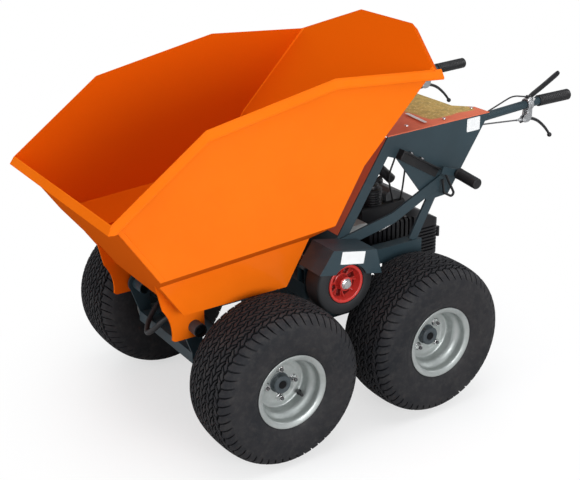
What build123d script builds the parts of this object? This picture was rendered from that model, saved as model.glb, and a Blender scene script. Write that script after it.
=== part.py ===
from build123d import *
from math import asin, atan2, cos, radians, sin, sqrt
import os

# Walk-behind site dumper: a tipping skip on a low four-wheel chassis, driven by friction rollers.
# Millimetres. +X forwards, over the tipping lip, +Y to the left, +Z up, ground at z = 0.
# Every x below is measured from the front axle; write() then moves each piece forwards by
# AXLE_AHEAD, so that the origin lies on the ground under the middle of the machine.

# Road wheels.
TYRE_R = 250.0
TYRE_GAP = 55.0
WHEELBASE = 2 * TYRE_R + TYRE_GAP
TYRE_HALF_W = 111.5
WHEEL_Y = 389.0
BEAD_R = 101.6
FLANGE_R = 117.0
FLANGE_HALF_W = 102.0
RIM_WALL = 3.5
DROP_R = 84.0
DISC_Y = 24.0
DISC_T = 6.0
HUB_R = 29.0
HUB_LENGTH = 86.0
HUB_OUT = 26.0
HUB_FLANGE_R = 66.0
HUB_FLANGE_T = 10.0
# Turf tread: ring grooves at multiples of the row pitch, and blocks cut in both shoulders.
TREAD_PITCH = 17.8
TREAD_RINGS = (-4.5, -1.5, 1.5, 4.5)
TREAD_D = 7.0
TREAD_RING_W = 5.6
TREAD_CUTS = 18
TREAD_CUT_W = 5.0
TREAD_END = 1.0
CROWN_DROP = 10.0
SHOULDER_DROP = 30.0
SHOULDER_IN = 27.0
SHOULDER_RUN = 20.0
AXLE_R = 12.5
FIT = 0.05
SEAT = 0.2
AXLE_TUBE_R = 24.0
HUB_CLEARANCE = 8.0

# Friction rollers, one between the two tyres of each side.
ROLLER_R = 103.0
ROLLER_GAP = 5.0
ROLLER_W = 82.0
ROLLER_RIM_R = 62.0
ROLLER_SEAT_R = 54.0
ROLLER_HUB_R = 22.0
ROLLER_WEB_IN = 2.0
ROLLER_WEB_OUT = 14.0
ROLLER_POCKETS = 8
ROLLER_POCKET_LOW = 26.0
ROLLER_POCKET_HIGH = 42.0
ROLLER_POCKET_ANGLE = 28.0
ROLLER_POCKET_D = 8.5
SHAFT_X = -WHEELBASE / 2
SHAFT_Z = TYRE_R + sqrt((TYRE_R + ROLLER_R + ROLLER_GAP) ** 2 - SHAFT_X**2)
SHAFT_HOLE_R = 14.0

# Widths, each a clearance from the tyres or from the piece beside it.
DECK_CLEARANCE = 9.5
TROUGH_CLEARANCE = 17.5
ROLLER_CLEARANCE = 16.0
GUARD_CLEARANCE = 14.0
SKIP_INSET = 35.0
SKIP_FLARE = 8.0
DECK_HALF_W = WHEEL_Y - TYRE_HALF_W - DECK_CLEARANCE
TROUGH_HALF_W = WHEEL_Y - TYRE_HALF_W - TROUGH_CLEARANCE
ROLLER_Y = DECK_HALF_W + ROLLER_CLEARANCE + ROLLER_W / 2
GUARD_OUT_Y = ROLLER_Y + ROLLER_W / 2 + GUARD_CLEARANCE
SKIP_HALF_W = WHEEL_Y - SKIP_INSET
FOLD_HALF_W = SKIP_HALF_W - SKIP_FLARE


def from_shaft(forward, up):
    """A point in side view, (x, z), given from the centre of the roller shaft."""
    return (SHAFT_X + forward, SHAFT_Z + up)


# Skip: the side view's outside corners, and its folds.
SHEET = 3.0
LIP = from_shaft(745.5, 351.0)
FRONT_SHOULDER = from_shaft(453.5, 560.0)
REAR_SHOULDER = from_shaft(34.5, 639.0)
REAR_CORNER = from_shaft(-322.5, 612.0)
REAR_KINK = from_shaft(-72.5, 358.0)
BOTTOM_FRONT = from_shaft(500.5, -11.0)
BOTTOM_REAR = from_shaft(147.5, -11.0)
FOLD_FRONT = from_shaft(613.5, 152.0)
FOLD_REAR = from_shaft(27.5, 189.0)
HEADBOARD_UP = 90.0
HEADBOARD_HALF_W = 134.0
FACET_DROP = 58.0
RIM_FLANGE = 26.0
RIM_TURN = 62.0
RIM_OUT = RIM_FLANGE * cos(radians(RIM_TURN))
RIM_DOWN = RIM_FLANGE * sin(radians(RIM_TURN))
RIM_LEAN = SKIP_FLARE / (REAR_SHOULDER[1] - FOLD_FRONT[1])
RIM_MITRE = 0.62 * RIM_OUT
REAR_FLANGE = 30.0
BEYOND = 400.0

# Skip pivot, and what the skip rests on.
PIVOT = from_shaft(437.5, -86.0)
PIVOT_R = 21.0
PIVOT_HALF_L = 240.0
PIVOT_INNER_Y = 120.0
BEAM_HALF_W = 180.0
EAR_GAP = 17.0
EAR_Y = BEAM_HALF_W + EAR_GAP
EAR_T = 6.0
EAR_EDGE = 34.0
EAR_TOE = 76.0
EAR_BROW = 104.0
EAR_REACH = 102.0
EAR_CORNER_R = 20.0
EAR_HOLLOW = 12.0
UPRIGHT_T = 8.0
UPRIGHT_EDGE = 13.0
PAD_GAP = 0.3
PAD_T = 18.0
PAD_R = 22.0
REST_BACK = 230.0

# Chassis.
BEAM_X = PIVOT[0] - 20.0
BEAM_W = 40.0
BEAM_H = 36.0
RAIL_UP = 3.0
RAIL_Y = 140.0
RAIL_W = 40.0
RAIL_H = 40.0
RAIL_BACK = 135.0
DECK_UP = -18.0
DECK_Z = SHAFT_Z + DECK_UP
DECK_RAIL_W = 40.0
DECK_RAIL_H = 50.0
DECK_TOP = DECK_Z + DECK_RAIL_H
DECK_FRONT = SHAFT_X + 87.5
DECK_REAR = SHAFT_X - 367.5
DECK_BEAM = 50.0
TUBE_WALL = 3.0
PLATE_T = 6.0
BEARING_R = 34.0
BEARING_T = 16.0

# Guard over each roller, in the roller's own frame, which leans back by GUARD_TILT.
GUARD_TILT = 11.2
GUARD_ROOM = 10.0
GUARD_TOP = ROLLER_R + GUARD_ROOM
GUARD_LOW = 36.0
GUARD_TOP_HALF_L = 81.0
GUARD_LOW_HALF_L = 117.0
GUARD_CUT_R = 68.0

# Operator's console: the side plate's corners, and what the plate carries.
CONSOLE_T = 5.0
CONSOLE_FRONT_TOP = from_shaft(-221.0, 399.0)
CONSOLE_REAR_TOP = from_shaft(-631.5, 408.0)
CONSOLE_TIP = from_shaft(-470.5, 164.0)
CONSOLE_LOW = from_shaft(-382.5, 158.0)
OPENING_TOP = from_shaft(-257.0, 323.0)
OPENING_DROP = 52.0
POST_FOOT = from_shaft(-19.0, 86.0)
POST_W = 35.0
CARRIER_FRONT = from_shaft(31.5, 122.0)
CARRIER_REAR_TOP = from_shaft(-108.5, 94.0)
CARRIER_REAR_X = SHAFT_X - 134.5
COVER_T = 3.0
COVER_EAR_INSET = 68.0
COVER_WAIST_INSET = 128.0
COVER_WAIST_DEPTH = 49.0
STRUT_FOOT = from_shaft(-44.5, 90.0)
STRUT_BEND = from_shaft(-245.0, 131.0)
STRUT_HEAD = from_shaft(-440.0, 222.0)
STRUT_W = 35.0
STRUT_T = 8.0
REAR_POST_LOW = from_shaft(-334.5, 32.0)
REAR_POST_HIGH = from_shaft(-422.5, 192.0)
REAR_POST_W = 32.0

# Handles: each point is (forward, up) from the roller shaft, with its own side distance.
HANDLE_R = 14.0
HANDLE_START = from_shaft(-482.5, 380.0)
HANDLE_BEND = from_shaft(-652.5, 392.0)
HANDLE_BEND_R = 220.0
HANDLE_Y = DECK_HALF_W - CONSOLE_T - HANDLE_R - SEAT
GRIP_START = from_shaft(-849.5, 411.0)
GRIP_END = from_shaft(-982.7, 414.0)
GRIP_START_Y = DECK_HALF_W - 6.0
GRIP_END_Y = DECK_HALF_W - 1.0
GRIP_R = 18.0
GRIP_END_CAP = 4.0

# Controls at the grips: lever, its ball end, its clamp and the rod that it pulls.
LEVER_ROUTE = [
    from_shaft(-776.0, 352.0),
    from_shaft(-822.0, 355.0),
    from_shaft(-858.0, 340.0),
    from_shaft(-893.0, 310.0),
    from_shaft(-916.0, 282.0),
]
LEVER_W = 10.0
LEVER_T = 8.0
LEVER_BALL_R = 8.0
CLAMP_W = 24.0
CLAMP_T = 26.0
CLAMP_AHEAD = 30.0
CLAMP_UP = 16.0
CLAMP_DOWN = 62.0
SLOT_CLEARANCE = 0.3
ROD_START = from_shaft(-585.0, 372.0)
ROD_END = from_shaft(-774.5, 358.0)
ROD_R = 2.5
TOP_LEVER_LOW = from_shaft(-806.0, 422.0)
TOP_LEVER_HIGH = from_shaft(-938.0, 495.0)
TOP_LEVER_W = 12.0
# Upper control cable, from the cover's rear corner up to the clamp.
BOW_START = from_shaft(-632.0, 411.5)
BOW_TOP = from_shaft(-735.0, 446.0)
BOW_END = from_shaft(-793.0, 434.0)
BOW_BEND_R = 90.0

# Tip latch, on the outside of the left side plate only.
LATCH_FRONT = from_shaft(-268.0, 354.0)
LATCH_REAR = from_shaft(-428.0, 260.0)
LATCH_H = 32.0
LATCH_T = 4.0
LATCH_OUT = 25.0
SPRING_ROD = [
    from_shaft(-434.0, 252.0),
    from_shaft(-490.0, 149.0),
    from_shaft(-436.0, 180.0),
    from_shaft(-428.0, 226.0),
]
SPRING_ROD_R = 4.0
SPRING_ROD_OUT = LATCH_OUT - SPRING_ROD_R
SPRING_ROD_BEND_R = 9.0
TIP_ARM_HEAD = from_shaft(-418.0, 262.0)
TIP_ARM_FOOT = from_shaft(-483.0, 240.0)
TIP_ARM_W = 24.0
TIP_ARM_T = 6.0
TIP_BAR_R = 10.0
TIP_GRIP_R = 17.5
TIP_GRIP_L = 88.0
TIP_GRIP_OUT = 34.0
TIP_GRIP_DROP = 10.0

# Engine, across the deck behind the skip; each row is (forward, up) from the shaft.
ENGINE_FRONT = SHAFT_X - 235.0
ENGINE_REAR = SHAFT_X - 412.5
ENGINE_HALF_W = 165.0
ENGINE_H = 74.0
FIN_SLOTS = 9
FIN_SLOT_W = 7.0
FIN_SLOT_D = 14.0
FIN_EDGE = 12.0
COWL_LEFT = 122.0
COWL_H = 51.0
ENGINE_EDGE_R = 12.0
FAN_L = 112.0
FAN_RIGHT = -50.0
FAN_LEFT = 172.0
FAN_LOW = SHAFT_Z - 88.0
FAN_HIGH = SHAFT_Z + 62.0
FAN_EDGE_R = 26.0
FAN_TOP_L = 62.0
FAN_TOP_H = 30.0
FAN_GROOVES = 8
FAN_GROOVE_W = 6.0
FAN_GROOVE_D = 8.0
GEARBOX_HALF_W = 70.0
GEARBOX_DOWN = 40.0
GEARBOX_UP = 80.0
GEARBOX_EDGE_R = 14.0
TANK_RIGHT = -110.0
TANK_LEFT = 106.0
TANK_PROFILE = [
    from_shaft(-345.0, 113.0),
    from_shaft(-345.0, 142.0),
    from_shaft(-372.0, 150.0),
    from_shaft(-462.0, 106.0),
    from_shaft(-478.0, 84.0),
    from_shaft(-478.0, 76.0),
    from_shaft(-412.7, 76.0),
    from_shaft(-412.7, 113.0),
]
TANK_EDGE_R = 16.0
FILTER = (SHAFT_X - 299.0, 84.0)
FILTER_R = 37.0
FILTER_H = 54.0
FILTER_CAP_R = 26.0
FILTER_CAP_H = 14.0
FILTER_RIBS = 4
FILTER_RIB_D = 4.0
MUFFLER_FRONT = SHAFT_X - 158.0
MUFFLER_RIGHT = 92.0
MUFFLER_LEFT = 156.0
MUFFLER_H = 34.0
MUFFLER_EDGE_R = 12.0
SHIFT_R = 6.0
SHIFT_BOSS_R = 16.0
SHIFT_BOSS_H = 14.0
SHIFT_FOOT = (SHAFT_X - 150.0, 40.0, DECK_Z + GEARBOX_UP + SHIFT_BOSS_H)
SHIFT_HEAD = (SHAFT_X - 302.0, 154.0, SHAFT_Z + 233.0)
KNOB_R = 16.0
KNOB_L = 66.0
PULL_GRIP = (150.0, SHAFT_Z - 20.0)
PULL_GRIP_R = 7.0
PULL_GRIP_L = 34.0
PULL_GRIP_OUT = 9.0
# Each row is one cable's bends: forward of the shaft, sideways, and up from the shaft.
CABLES = [
    [(-306.0, 206.0, 380.0), (-303.0, 200.0, 297.0), (-292.0, 182.0, 232.0), (-366.0, 115.0, 113.5)],
    [(-340.0, 208.0, 384.0), (-344.0, 202.0, 255.0), (-360.0, 172.0, 180.0), (-398.0, 115.0, 113.5)],
]
CABLE_R = 3.0
CABLE_BEND_R = 90.0

# Overall reach, which sets the machine's own origin.
LIP_REACH = LIP[0] + RIM_OUT
AXLE_AHEAD = -(GRIP_END[0] + LIP_REACH) / 2


def write(name, shape):
    """Moves a piece to the machine's own origin and writes it."""
    export_step(Pos(AXLE_AHEAD, 0, 0) * shape, f"parts/{name}.step")


def side_plate(corners, y_low, y_high):
    """A plate whose outline is given in side view, (x, z), between two values of y."""
    outline = Plane.XZ.offset(-y_high) * Polygon(*corners, align=None)
    return extrude(outline, amount=y_high - y_low, dir=(0, -1, 0))


def block(x_low, x_high, y_low, y_high, z_low, z_high):
    """A box between two opposite corners."""
    size = Box(x_high - x_low, y_high - y_low, z_high - z_low)
    return Pos((x_low + x_high) / 2, (y_low + y_high) / 2, (z_low + z_high) / 2) * size


def bar_y(x, z, radius, y_low, y_high):
    """A round bar that runs across the machine."""
    bar = Cylinder(radius, y_high - y_low, rotation=(90, 0, 0))
    return Pos(x, (y_low + y_high) / 2, z) * bar


def both_sides(shape):
    """The left-hand piece and its mirror image on the right."""
    return Compound(children=[*shape.solids(), *mirror(shape, about=Plane.XZ).solids()])


def box_tube(x_low, x_high, y_low, y_high, z_low, z_high):
    """A rectangular tube along x, open at both ends."""
    outer = block(x_low, x_high, y_low, y_high, z_low, z_high)
    wall = TUBE_WALL
    return outer - block(
        x_low, x_high, y_low + wall, y_high - wall, z_low + wall, z_high - wall
    )


def along(start, end, distance):
    """The point at a distance from start on the way to end, in side view."""
    length = sqrt((end[0] - start[0]) ** 2 + (end[1] - start[1]) ** 2)
    share = distance / length
    return (start[0] + (end[0] - start[0]) * share, start[1] + (end[1] - start[1]) * share)


def flat_bar(start, end, width):
    """The corners of a straight bar of a given width between two points in side view."""
    lean = atan2(end[1] - start[1], end[0] - start[0])
    dx, dz = -sin(lean) * width / 2, cos(lean) * width / 2
    return [
        (start[0] + dx, start[1] + dz),
        (end[0] + dx, end[1] + dz),
        (end[0] - dx, end[1] - dz),
        (start[0] - dx, start[1] - dz),
    ]


def band(points, width):
    """The corners of a band of a given width on the right of a chain of points."""
    inner = []
    for i, point in enumerate(points):
        before = points[max(i - 1, 0)]
        after = points[min(i + 1, len(points) - 1)]
        ways = []
        for start, end in ((before, point), (point, after)):
            if start != end:
                way = atan2(end[1] - start[1], end[0] - start[0])
                ways.append(way)
        half_turn = (ways[-1] - ways[0]) / 2
        normal = ways[0] + half_turn - radians(90)
        reach = width / cos(half_turn)
        inner.append((point[0] + reach * cos(normal), point[1] + reach * sin(normal)))
    return [*points, *reversed(inner)]


def lower(point):
    """The same point on the other side of a wheel's middle plane."""
    return (point[0], -point[1])


# ---- Road wheels -------------------------------------------------------------------------


def wheel_rim():
    """Deep-dished rim: flanges, bead seats, drop centre and a recessed disc."""
    seat_in = 62.0
    drop_out, drop_in = 46.0, -30.0
    flange_in = FLANGE_HALF_W - RIM_WALL
    bead = flange_in - 4.0
    # Each row: radius and distance outwards, on the tyre's side of the sheet.
    tyre_side = [
        (FLANGE_R, flange_in),
        (BEAD_R, bead),
        (BEAD_R, seat_in),
        (DROP_R, drop_out),
        (DROP_R, drop_in),
        (BEAD_R, -seat_in),
        (BEAD_R, -bead),
        (FLANGE_R, -flange_in),
    ]
    inside = [
        (FLANGE_R, -FLANGE_HALF_W),
        (BEAD_R - RIM_WALL, 1.0 - flange_in),
        (BEAD_R - RIM_WALL, -seat_in - 1.5),
        (DROP_R - RIM_WALL, drop_in - 1.5),
        (DROP_R - RIM_WALL, DISC_Y),
        (HUB_R + 1.0, DISC_Y),
        (HUB_R + 1.0, DISC_Y + DISC_T),
        (DROP_R - RIM_WALL, DISC_Y + DISC_T),
        (DROP_R - RIM_WALL, drop_out + 1.5),
        (BEAD_R - RIM_WALL, seat_in + 1.5),
        (BEAD_R - RIM_WALL, flange_in - 1.0),
        (FLANGE_R, FLANGE_HALF_W),
    ]
    return revolve(Plane.XY * Polygon(*tyre_side, *inside, align=None), axis=Axis.Y)


def crown_r(y):
    """Radius of the tread's round crown at a distance from its middle plane."""
    edge = TYRE_HALF_W - SHOULDER_IN
    bend = (edge**2 + CROWN_DROP**2) / (2 * CROWN_DROP)
    return TYRE_R - bend + sqrt(bend**2 - y**2)


def shoulder_end():
    """Where the shoulder's slope meets the sidewall: radius and distance outwards."""
    return (TYRE_R - SHOULDER_DROP, TYRE_HALF_W - SHOULDER_IN + SHOULDER_RUN)


def crown_corners():
    """The crown's corners, from shoulder to shoulder: each band of tread is flat across."""
    edge = TYRE_HALF_W - SHOULDER_IN
    rings = [ring * TREAD_PITCH for ring in TREAD_RINGS]
    return [(crown_r(y), y) for y in (-edge, *rings, edge)]


def tread_rings():
    """The ring grooves round the tread."""
    rings = []
    for ring in TREAD_RINGS:
        y = ring * TREAD_PITCH
        rings.append(Pos(crown_r(y), y) * Rectangle(2 * TREAD_D, TREAD_RING_W))
    return revolve(Plane.XY * Sketch(children=rings), axis=Axis.Y)


def shoulder_cuts():
    """Cuts from the outer ring grooves over both shoulders, where they run out."""
    inner = TREAD_RINGS[-1] * TREAD_PITCH
    end_r, end_y = shoulder_end()
    slope = [
        (crown_r(inner) - TREAD_D + TREAD_END, inner),
        (TYRE_R + TREAD_D, inner),
        (TYRE_R + TREAD_D, end_y),
        (end_r + TREAD_END, end_y - TREAD_END),
    ]
    cut = extrude(Plane.XY * Polygon(*slope, align=None), amount=TREAD_CUT_W / 2, both=True)
    cuts = []
    for turn in range(TREAD_CUTS):
        angle = 360 * turn / TREAD_CUTS
        cuts += [Rot(0, angle, 0) * cut, Rot(0, angle, 0) * mirror(cut, about=Plane.XZ)]
    return cuts


def wheel_tyre():
    """Low-pressure balloon tyre with a turf tread."""
    bead = FLANGE_HALF_W - RIM_WALL - 4.0 - 0.5
    low = BEAD_R + SEAT
    flange = (FLANGE_R + 0.5, bead + 4.0)
    wall_low = (FLANGE_R + 6.0, FLANGE_HALF_W + 1.0)
    wall_high = shoulder_end()
    bulge = (TYRE_R - 80.0, TYRE_HALF_W)
    outline = [
        Polyline(lower(wall_low), lower(flange), (low, -bead), (low, bead), flange, wall_low),
        ThreePointArc(wall_low, bulge, wall_high),
        Polyline(wall_high, *reversed(crown_corners()), lower(wall_high)),
        ThreePointArc(lower(wall_high), lower(bulge), lower(wall_low)),
    ]
    profile = make_face([edge for line in outline for edge in line.edges()])
    return revolve(profile, axis=Axis.Y) - tread_rings() - shoulder_cuts()


def wheel_hub():
    """Bolt-on hub: a barrel that runs on the axle, with a flange behind the rim's disc."""
    out = DISC_Y + DISC_T + HUB_OUT
    barrel = bar_y(0, 0, HUB_R, out - HUB_LENGTH, out)
    flange = bar_y(0, 0, HUB_FLANGE_R, DISC_Y - HUB_FLANGE_T, DISC_Y)
    return barrel + flange - bar_y(0, 0, AXLE_R + FIT, out - HUB_LENGTH - 1, out + 1)


def road_wheels():
    """Four alike: name, x and the side that the wheel is on."""
    rim, tyre, hub = wheel_rim(), wheel_tyre(), wheel_hub()
    for end, x in (("front", 0.0), ("rear", -WHEELBASE)):
        for side, turn in (("left", 0), ("right", 180)):
            y = WHEEL_Y if side == "left" else -WHEEL_Y
            place = Pos(x, y, TYRE_R) * Rot(0, 0, turn)
            write(f"rim_{end}_{side}", place * rim)
            write(f"tyre_{end}_{side}", place * tyre)
            write(f"hub_{end}_{side}", place * hub)


# ---- Friction rollers --------------------------------------------------------------------


def roller_tyre():
    """Small smooth tyre of a friction roller, about its own centre."""
    low = ROLLER_SEAT_R + SEAT
    half = ROLLER_W / 2
    corners = [
        (low, -half + 9),
        (ROLLER_RIM_R + 2, -half + 1),
        (ROLLER_R - 18, -half),
        (ROLLER_R - 4, -half + 8),
        (ROLLER_R, -half + 20),
        (ROLLER_R, half - 20),
        (ROLLER_R - 4, half - 8),
        (ROLLER_R - 18, half),
        (ROLLER_RIM_R + 3, half - 1),
        (ROLLER_RIM_R + 0.5, half - 6.5),
        (low, half - 10.5),
    ]
    return revolve(Plane.XY * Polygon(*corners, align=None), axis=Axis.Y)


def roller_rim():
    """Moulded rim: a flanged ring, a web and a hub that grips the shaft."""
    half = ROLLER_W / 2
    lip = half - 2.0
    corners = [
        (AXLE_R, -half),
        (ROLLER_HUB_R, -half),
        (ROLLER_HUB_R, ROLLER_WEB_IN),
        (ROLLER_SEAT_R - 7, ROLLER_WEB_IN),
        (ROLLER_SEAT_R - 7, -half + 8),
        (ROLLER_SEAT_R, -half + 9),
        (ROLLER_SEAT_R, half - 10),
        (ROLLER_RIM_R, lip - 4),
        (ROLLER_RIM_R, lip),
        (ROLLER_SEAT_R - 4, lip),
        (ROLLER_SEAT_R - 9, ROLLER_WEB_OUT),
        (ROLLER_HUB_R, ROLLER_WEB_OUT),
        (ROLLER_HUB_R, half),
        (AXLE_R, half),
    ]
    floor = ROLLER_WEB_OUT - ROLLER_POCKET_D
    pocket = [
        (ROLLER_POCKET_LOW, floor),
        (ROLLER_POCKET_HIGH, floor),
        (ROLLER_POCKET_HIGH, half),
        (ROLLER_POCKET_LOW, half),
    ]
    pocket = Plane.XY * Polygon(*pocket, align=None)
    sector = revolve(pocket, axis=Axis.Y, revolution_arc=ROLLER_POCKET_ANGLE)
    step = 360 / ROLLER_POCKETS
    rim = revolve(Plane.XY * Polygon(*corners, align=None), axis=Axis.Y)
    return rim - [Rot(0, turn * step, 0) * sector for turn in range(ROLLER_POCKETS)]


def rollers():
    """Both rollers and the shaft that turns them."""
    place = Pos(SHAFT_X, ROLLER_Y, SHAFT_Z)
    write("roller_tyres", both_sides(place * roller_tyre()))
    write("roller_rims", both_sides(place * roller_rim()))
    end = ROLLER_Y + ROLLER_W / 2 + AXLE_R / 2
    write("roller_shaft", bar_y(SHAFT_X, SHAFT_Z, AXLE_R, -end, end))


# ---- Skip --------------------------------------------------------------------------------


def fold_z(x):
    """Height of the fold between the skip's side and the facet below it."""
    slope = (FOLD_FRONT[1] - FOLD_REAR[1]) / (FOLD_FRONT[0] - FOLD_REAR[0])
    return FOLD_REAR[1] + slope * (x - FOLD_REAR[0])


def skip_section(x, inset):
    """The skip's cross-section at x: trough, inward facet and side panel, less a wall."""
    fold = fold_z(x)
    top = REAR_SHOULDER[1] + BEYOND
    flare = (SKIP_HALF_W - FOLD_HALF_W) / (REAR_SHOULDER[1] - fold)
    right = [
        (TROUGH_HALF_W, BOTTOM_REAR[1] - BEYOND / 4),
        (TROUGH_HALF_W, fold - FACET_DROP),
        (FOLD_HALF_W, fold),
        (FOLD_HALF_W + flare * (top - fold), top),
    ]
    left = [(-y, z) for y, z in reversed(right)]
    face = Plane.YZ.offset(x) * Polygon(*right, *left, align=None)
    return offset(face, -inset, kind=Kind.INTERSECTION) if inset else face


def skip_envelope(inset):
    """The skip's cross-section carried from end to end, the fold dropping to the front."""
    front, rear = LIP[0] + BEYOND / 2, REAR_CORNER[0] - BEYOND / 2
    return loft([skip_section(rear, inset).face(), skip_section(front, inset).face()])


def headboard_top():
    """Where the back wall's upper plane reaches the top of the headboard."""
    run = (REAR_CORNER[0] - REAR_KINK[0]) / (REAR_CORNER[1] - REAR_KINK[1])
    return (REAR_CORNER[0] + HEADBOARD_UP * run, REAR_CORNER[1] + HEADBOARD_UP)


def skip_outside():
    """The skip as a closed solid, without its headboard."""
    front = [BOTTOM_FRONT, LIP, FRONT_SHOULDER]
    corners = [BOTTOM_REAR, *front, REAR_SHOULDER, REAR_CORNER, REAR_KINK]
    half = SKIP_HALF_W + BEYOND / 4
    return side_plate(corners, -half, half) & skip_envelope(0)


def skip_inside():
    """What the skip holds, carried on past its open top."""
    far_front = along(BOTTOM_FRONT, LIP, 4 * BEYOND)
    far_rear = along(REAR_KINK, REAR_CORNER, 4 * BEYOND)
    corners = [BOTTOM_REAR, BOTTOM_FRONT, far_front, far_rear, REAR_KINK]
    outline = Plane.XZ * Polygon(*corners, align=None)
    outline = offset(outline, -SHEET, kind=Kind.INTERSECTION)
    prism = extrude(outline, amount=SKIP_HALF_W + BEYOND / 4, both=True)
    return prism & skip_envelope(SHEET)


def skip_headboard():
    """The raised middle of the back wall, in the same sheet."""
    top = headboard_top()
    low = along(REAR_CORNER, REAR_KINK, 2 * SHEET)
    strip = side_plate(band([low, top], SHEET), -SKIP_HALF_W, SKIP_HALF_W)
    rear_view = [
        (-SKIP_HALF_W, low[1] - SHEET),
        (SKIP_HALF_W, low[1] - SHEET),
        (SKIP_HALF_W, REAR_CORNER[1]),
        (HEADBOARD_HALF_W, top[1]),
        (-HEADBOARD_HALF_W, top[1]),
        (-SKIP_HALF_W, REAR_CORNER[1]),
    ]
    window = Plane.YZ.offset(top[0] - BEYOND / 2) * Polygon(*rear_view, align=None)
    return strip & extrude(window, amount=BEYOND, dir=(1, 0, 0))


def skip_back_flange():
    """Flange that stiffens the back wall's upper edge, square to the wall."""
    top = headboard_top()
    lean = atan2(top[1] - REAR_CORNER[1], top[0] - REAR_CORNER[0])
    wall = Plane(
        origin=(REAR_CORNER[0], 0, REAR_CORNER[1]),
        x_dir=(0, 1, 0),
        z_dir=(-sin(lean), 0, cos(lean)),
    )
    height = sqrt((top[0] - REAR_CORNER[0]) ** 2 + (top[1] - REAR_CORNER[1]) ** 2)
    up = 1 if wall.y_dir.Z > 0 else -1
    chain = [
        (-SKIP_HALF_W, 0),
        (-HEADBOARD_HALF_W, up * height),
        (HEADBOARD_HALF_W, up * height),
        (SKIP_HALF_W, 0),
    ]
    if up < 0:
        chain.reverse()
    edge = wall * Polygon(*band(chain, SHEET), align=None)
    back = wall.z_dir * (-1 if wall.z_dir.X > 0 else 1)
    return extrude(edge, amount=REAR_FLANGE, dir=back)


def rim_half_w(z):
    """Half width of the skip at a height on its side panels' planes."""
    return SKIP_HALF_W - RIM_LEAN * (REAR_SHOULDER[1] - z)


def rim_face(corners, out):
    """A face whose side-view corners lie a distance outside the left side panel's plane."""
    points = [(x, rim_half_w(z) + out, z) for x, z in corners]
    return make_face(Polyline(*points, close=True))


def skip_side_flange():
    """Flange turned outwards and down along the top of the left side, trimmed at the lip."""
    start = along(REAR_CORNER, REAR_SHOULDER, -REAR_FLANGE)
    end = along(LIP, FRONT_SHOULDER, -RIM_FLANGE)
    chain = [start, REAR_SHOULDER, FRONT_SHOULDER, end]
    wall = SHEET / cos(radians(RIM_TURN))
    upper = band(chain, wall)
    lowered = [(x, z - RIM_DOWN) for x, z in upper]
    flange = loft([rim_face(upper, -SHEET), rim_face(lowered, RIM_OUT)], ruled=True)
    low = LIP[1] - RIM_DOWN
    ahead = LIP[0] + BEYOND
    behind = LIP[0] - 2 * RIM_FLANGE
    waste = [
        along(LIP, (LIP[0] + RIM_OUT, low), -RIM_FLANGE),
        (LIP[0] + RIM_OUT, low),
        (behind, low),
        (behind, low - BEYOND),
        (ahead, low - BEYOND),
        (ahead, LIP[1] + BEYOND),
    ]
    return flange - side_plate(waste, 0, SKIP_HALF_W + 2 * RIM_FLANGE)


def skip_lip():
    """Flange turned forwards and down along the lip, mitred into the side flanges."""
    turn = radians(RIM_TURN)
    half = rim_half_w(LIP[1])
    corners = [
        (-half, 0),
        (half, 0),
        (half + RIM_MITRE, -RIM_FLANGE),
        (-half - RIM_MITRE, -RIM_FLANGE),
    ]
    upper = Plane(origin=(LIP[0], 0, LIP[1]), x_dir=(0, 1, 0), z_dir=(sin(turn), 0, cos(turn)))
    return extrude(upper * Polygon(*corners, align=None), amount=SHEET, dir=-upper.z_dir)


def skip_shell():
    """Folded sheet skip, hollow, with its stiffened edges."""
    shell = skip_outside() + skip_headboard() + skip_back_flange() - skip_inside()
    side = skip_side_flange()
    return shell + side + mirror(side, about=Plane.XZ) + skip_lip()


def ear_hollow(high, low):
    """The round cutter that hollows an ear's front edge between two corners."""
    chord = sqrt((high[0] - low[0]) ** 2 + (high[1] - low[1]) ** 2)
    bend = chord**2 / (8 * EAR_HOLLOW) + EAR_HOLLOW / 2
    lean = atan2(high[1] - low[1], high[0] - low[0])
    out = bend - EAR_HOLLOW
    x = (high[0] + low[0]) / 2 + sin(lean) * out
    z = (high[1] + low[1]) / 2 - cos(lean) * out
    return bar_y(x, z, bend, EAR_Y - EAR_T, EAR_Y + 2 * EAR_T)


def skip_ear():
    """Plate under the skip's nose that hangs it on the pivot tube."""
    x, z = PIVOT
    nose = along(BOTTOM_FRONT, LIP, EAR_BROW)
    toe = (x + EAR_TOE, z - EAR_EDGE)
    corners = [
        nose,
        (x + EAR_REACH, BOTTOM_FRONT[1]),
        toe,
        (x - EAR_EDGE, z - EAR_EDGE),
        (x - EAR_EDGE, BOTTOM_REAR[1] + SHEET),
        (BOTTOM_FRONT[0], BOTTOM_FRONT[1] + SHEET),
    ]
    plate = side_plate(corners, EAR_Y, EAR_Y + EAR_T)
    foot = plate.edges().filter_by(Axis.Y).group_by(Axis.Z)[0]
    plate = fillet(foot, EAR_CORNER_R) - ear_hollow((x + EAR_REACH, BOTTOM_FRONT[1]), toe)
    hole = bar_y(x, z, PIVOT_R + FIT, EAR_Y - EAR_T, EAR_Y + 2 * EAR_T)
    return plate - hole - skip_outside()


# ---- Chassis -----------------------------------------------------------------------------


def low_rail():
    """Left low rail, notched over the axle tubes that it stands on."""
    y = RAIL_Y - RAIL_W / 2
    z = TYRE_R + RAIL_UP
    rear = -WHEELBASE - RAIL_BACK
    rail = box_tube(rear, BEAM_X - BEAM_W / 2, y, y + RAIL_W, z, z + RAIL_H)
    for x in (0.0, -WHEELBASE):
        rail -= bar_y(x, TYRE_R, AXLE_TUBE_R + SEAT, y - SHEET, y + RAIL_W + SHEET)
    return rail


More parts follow.
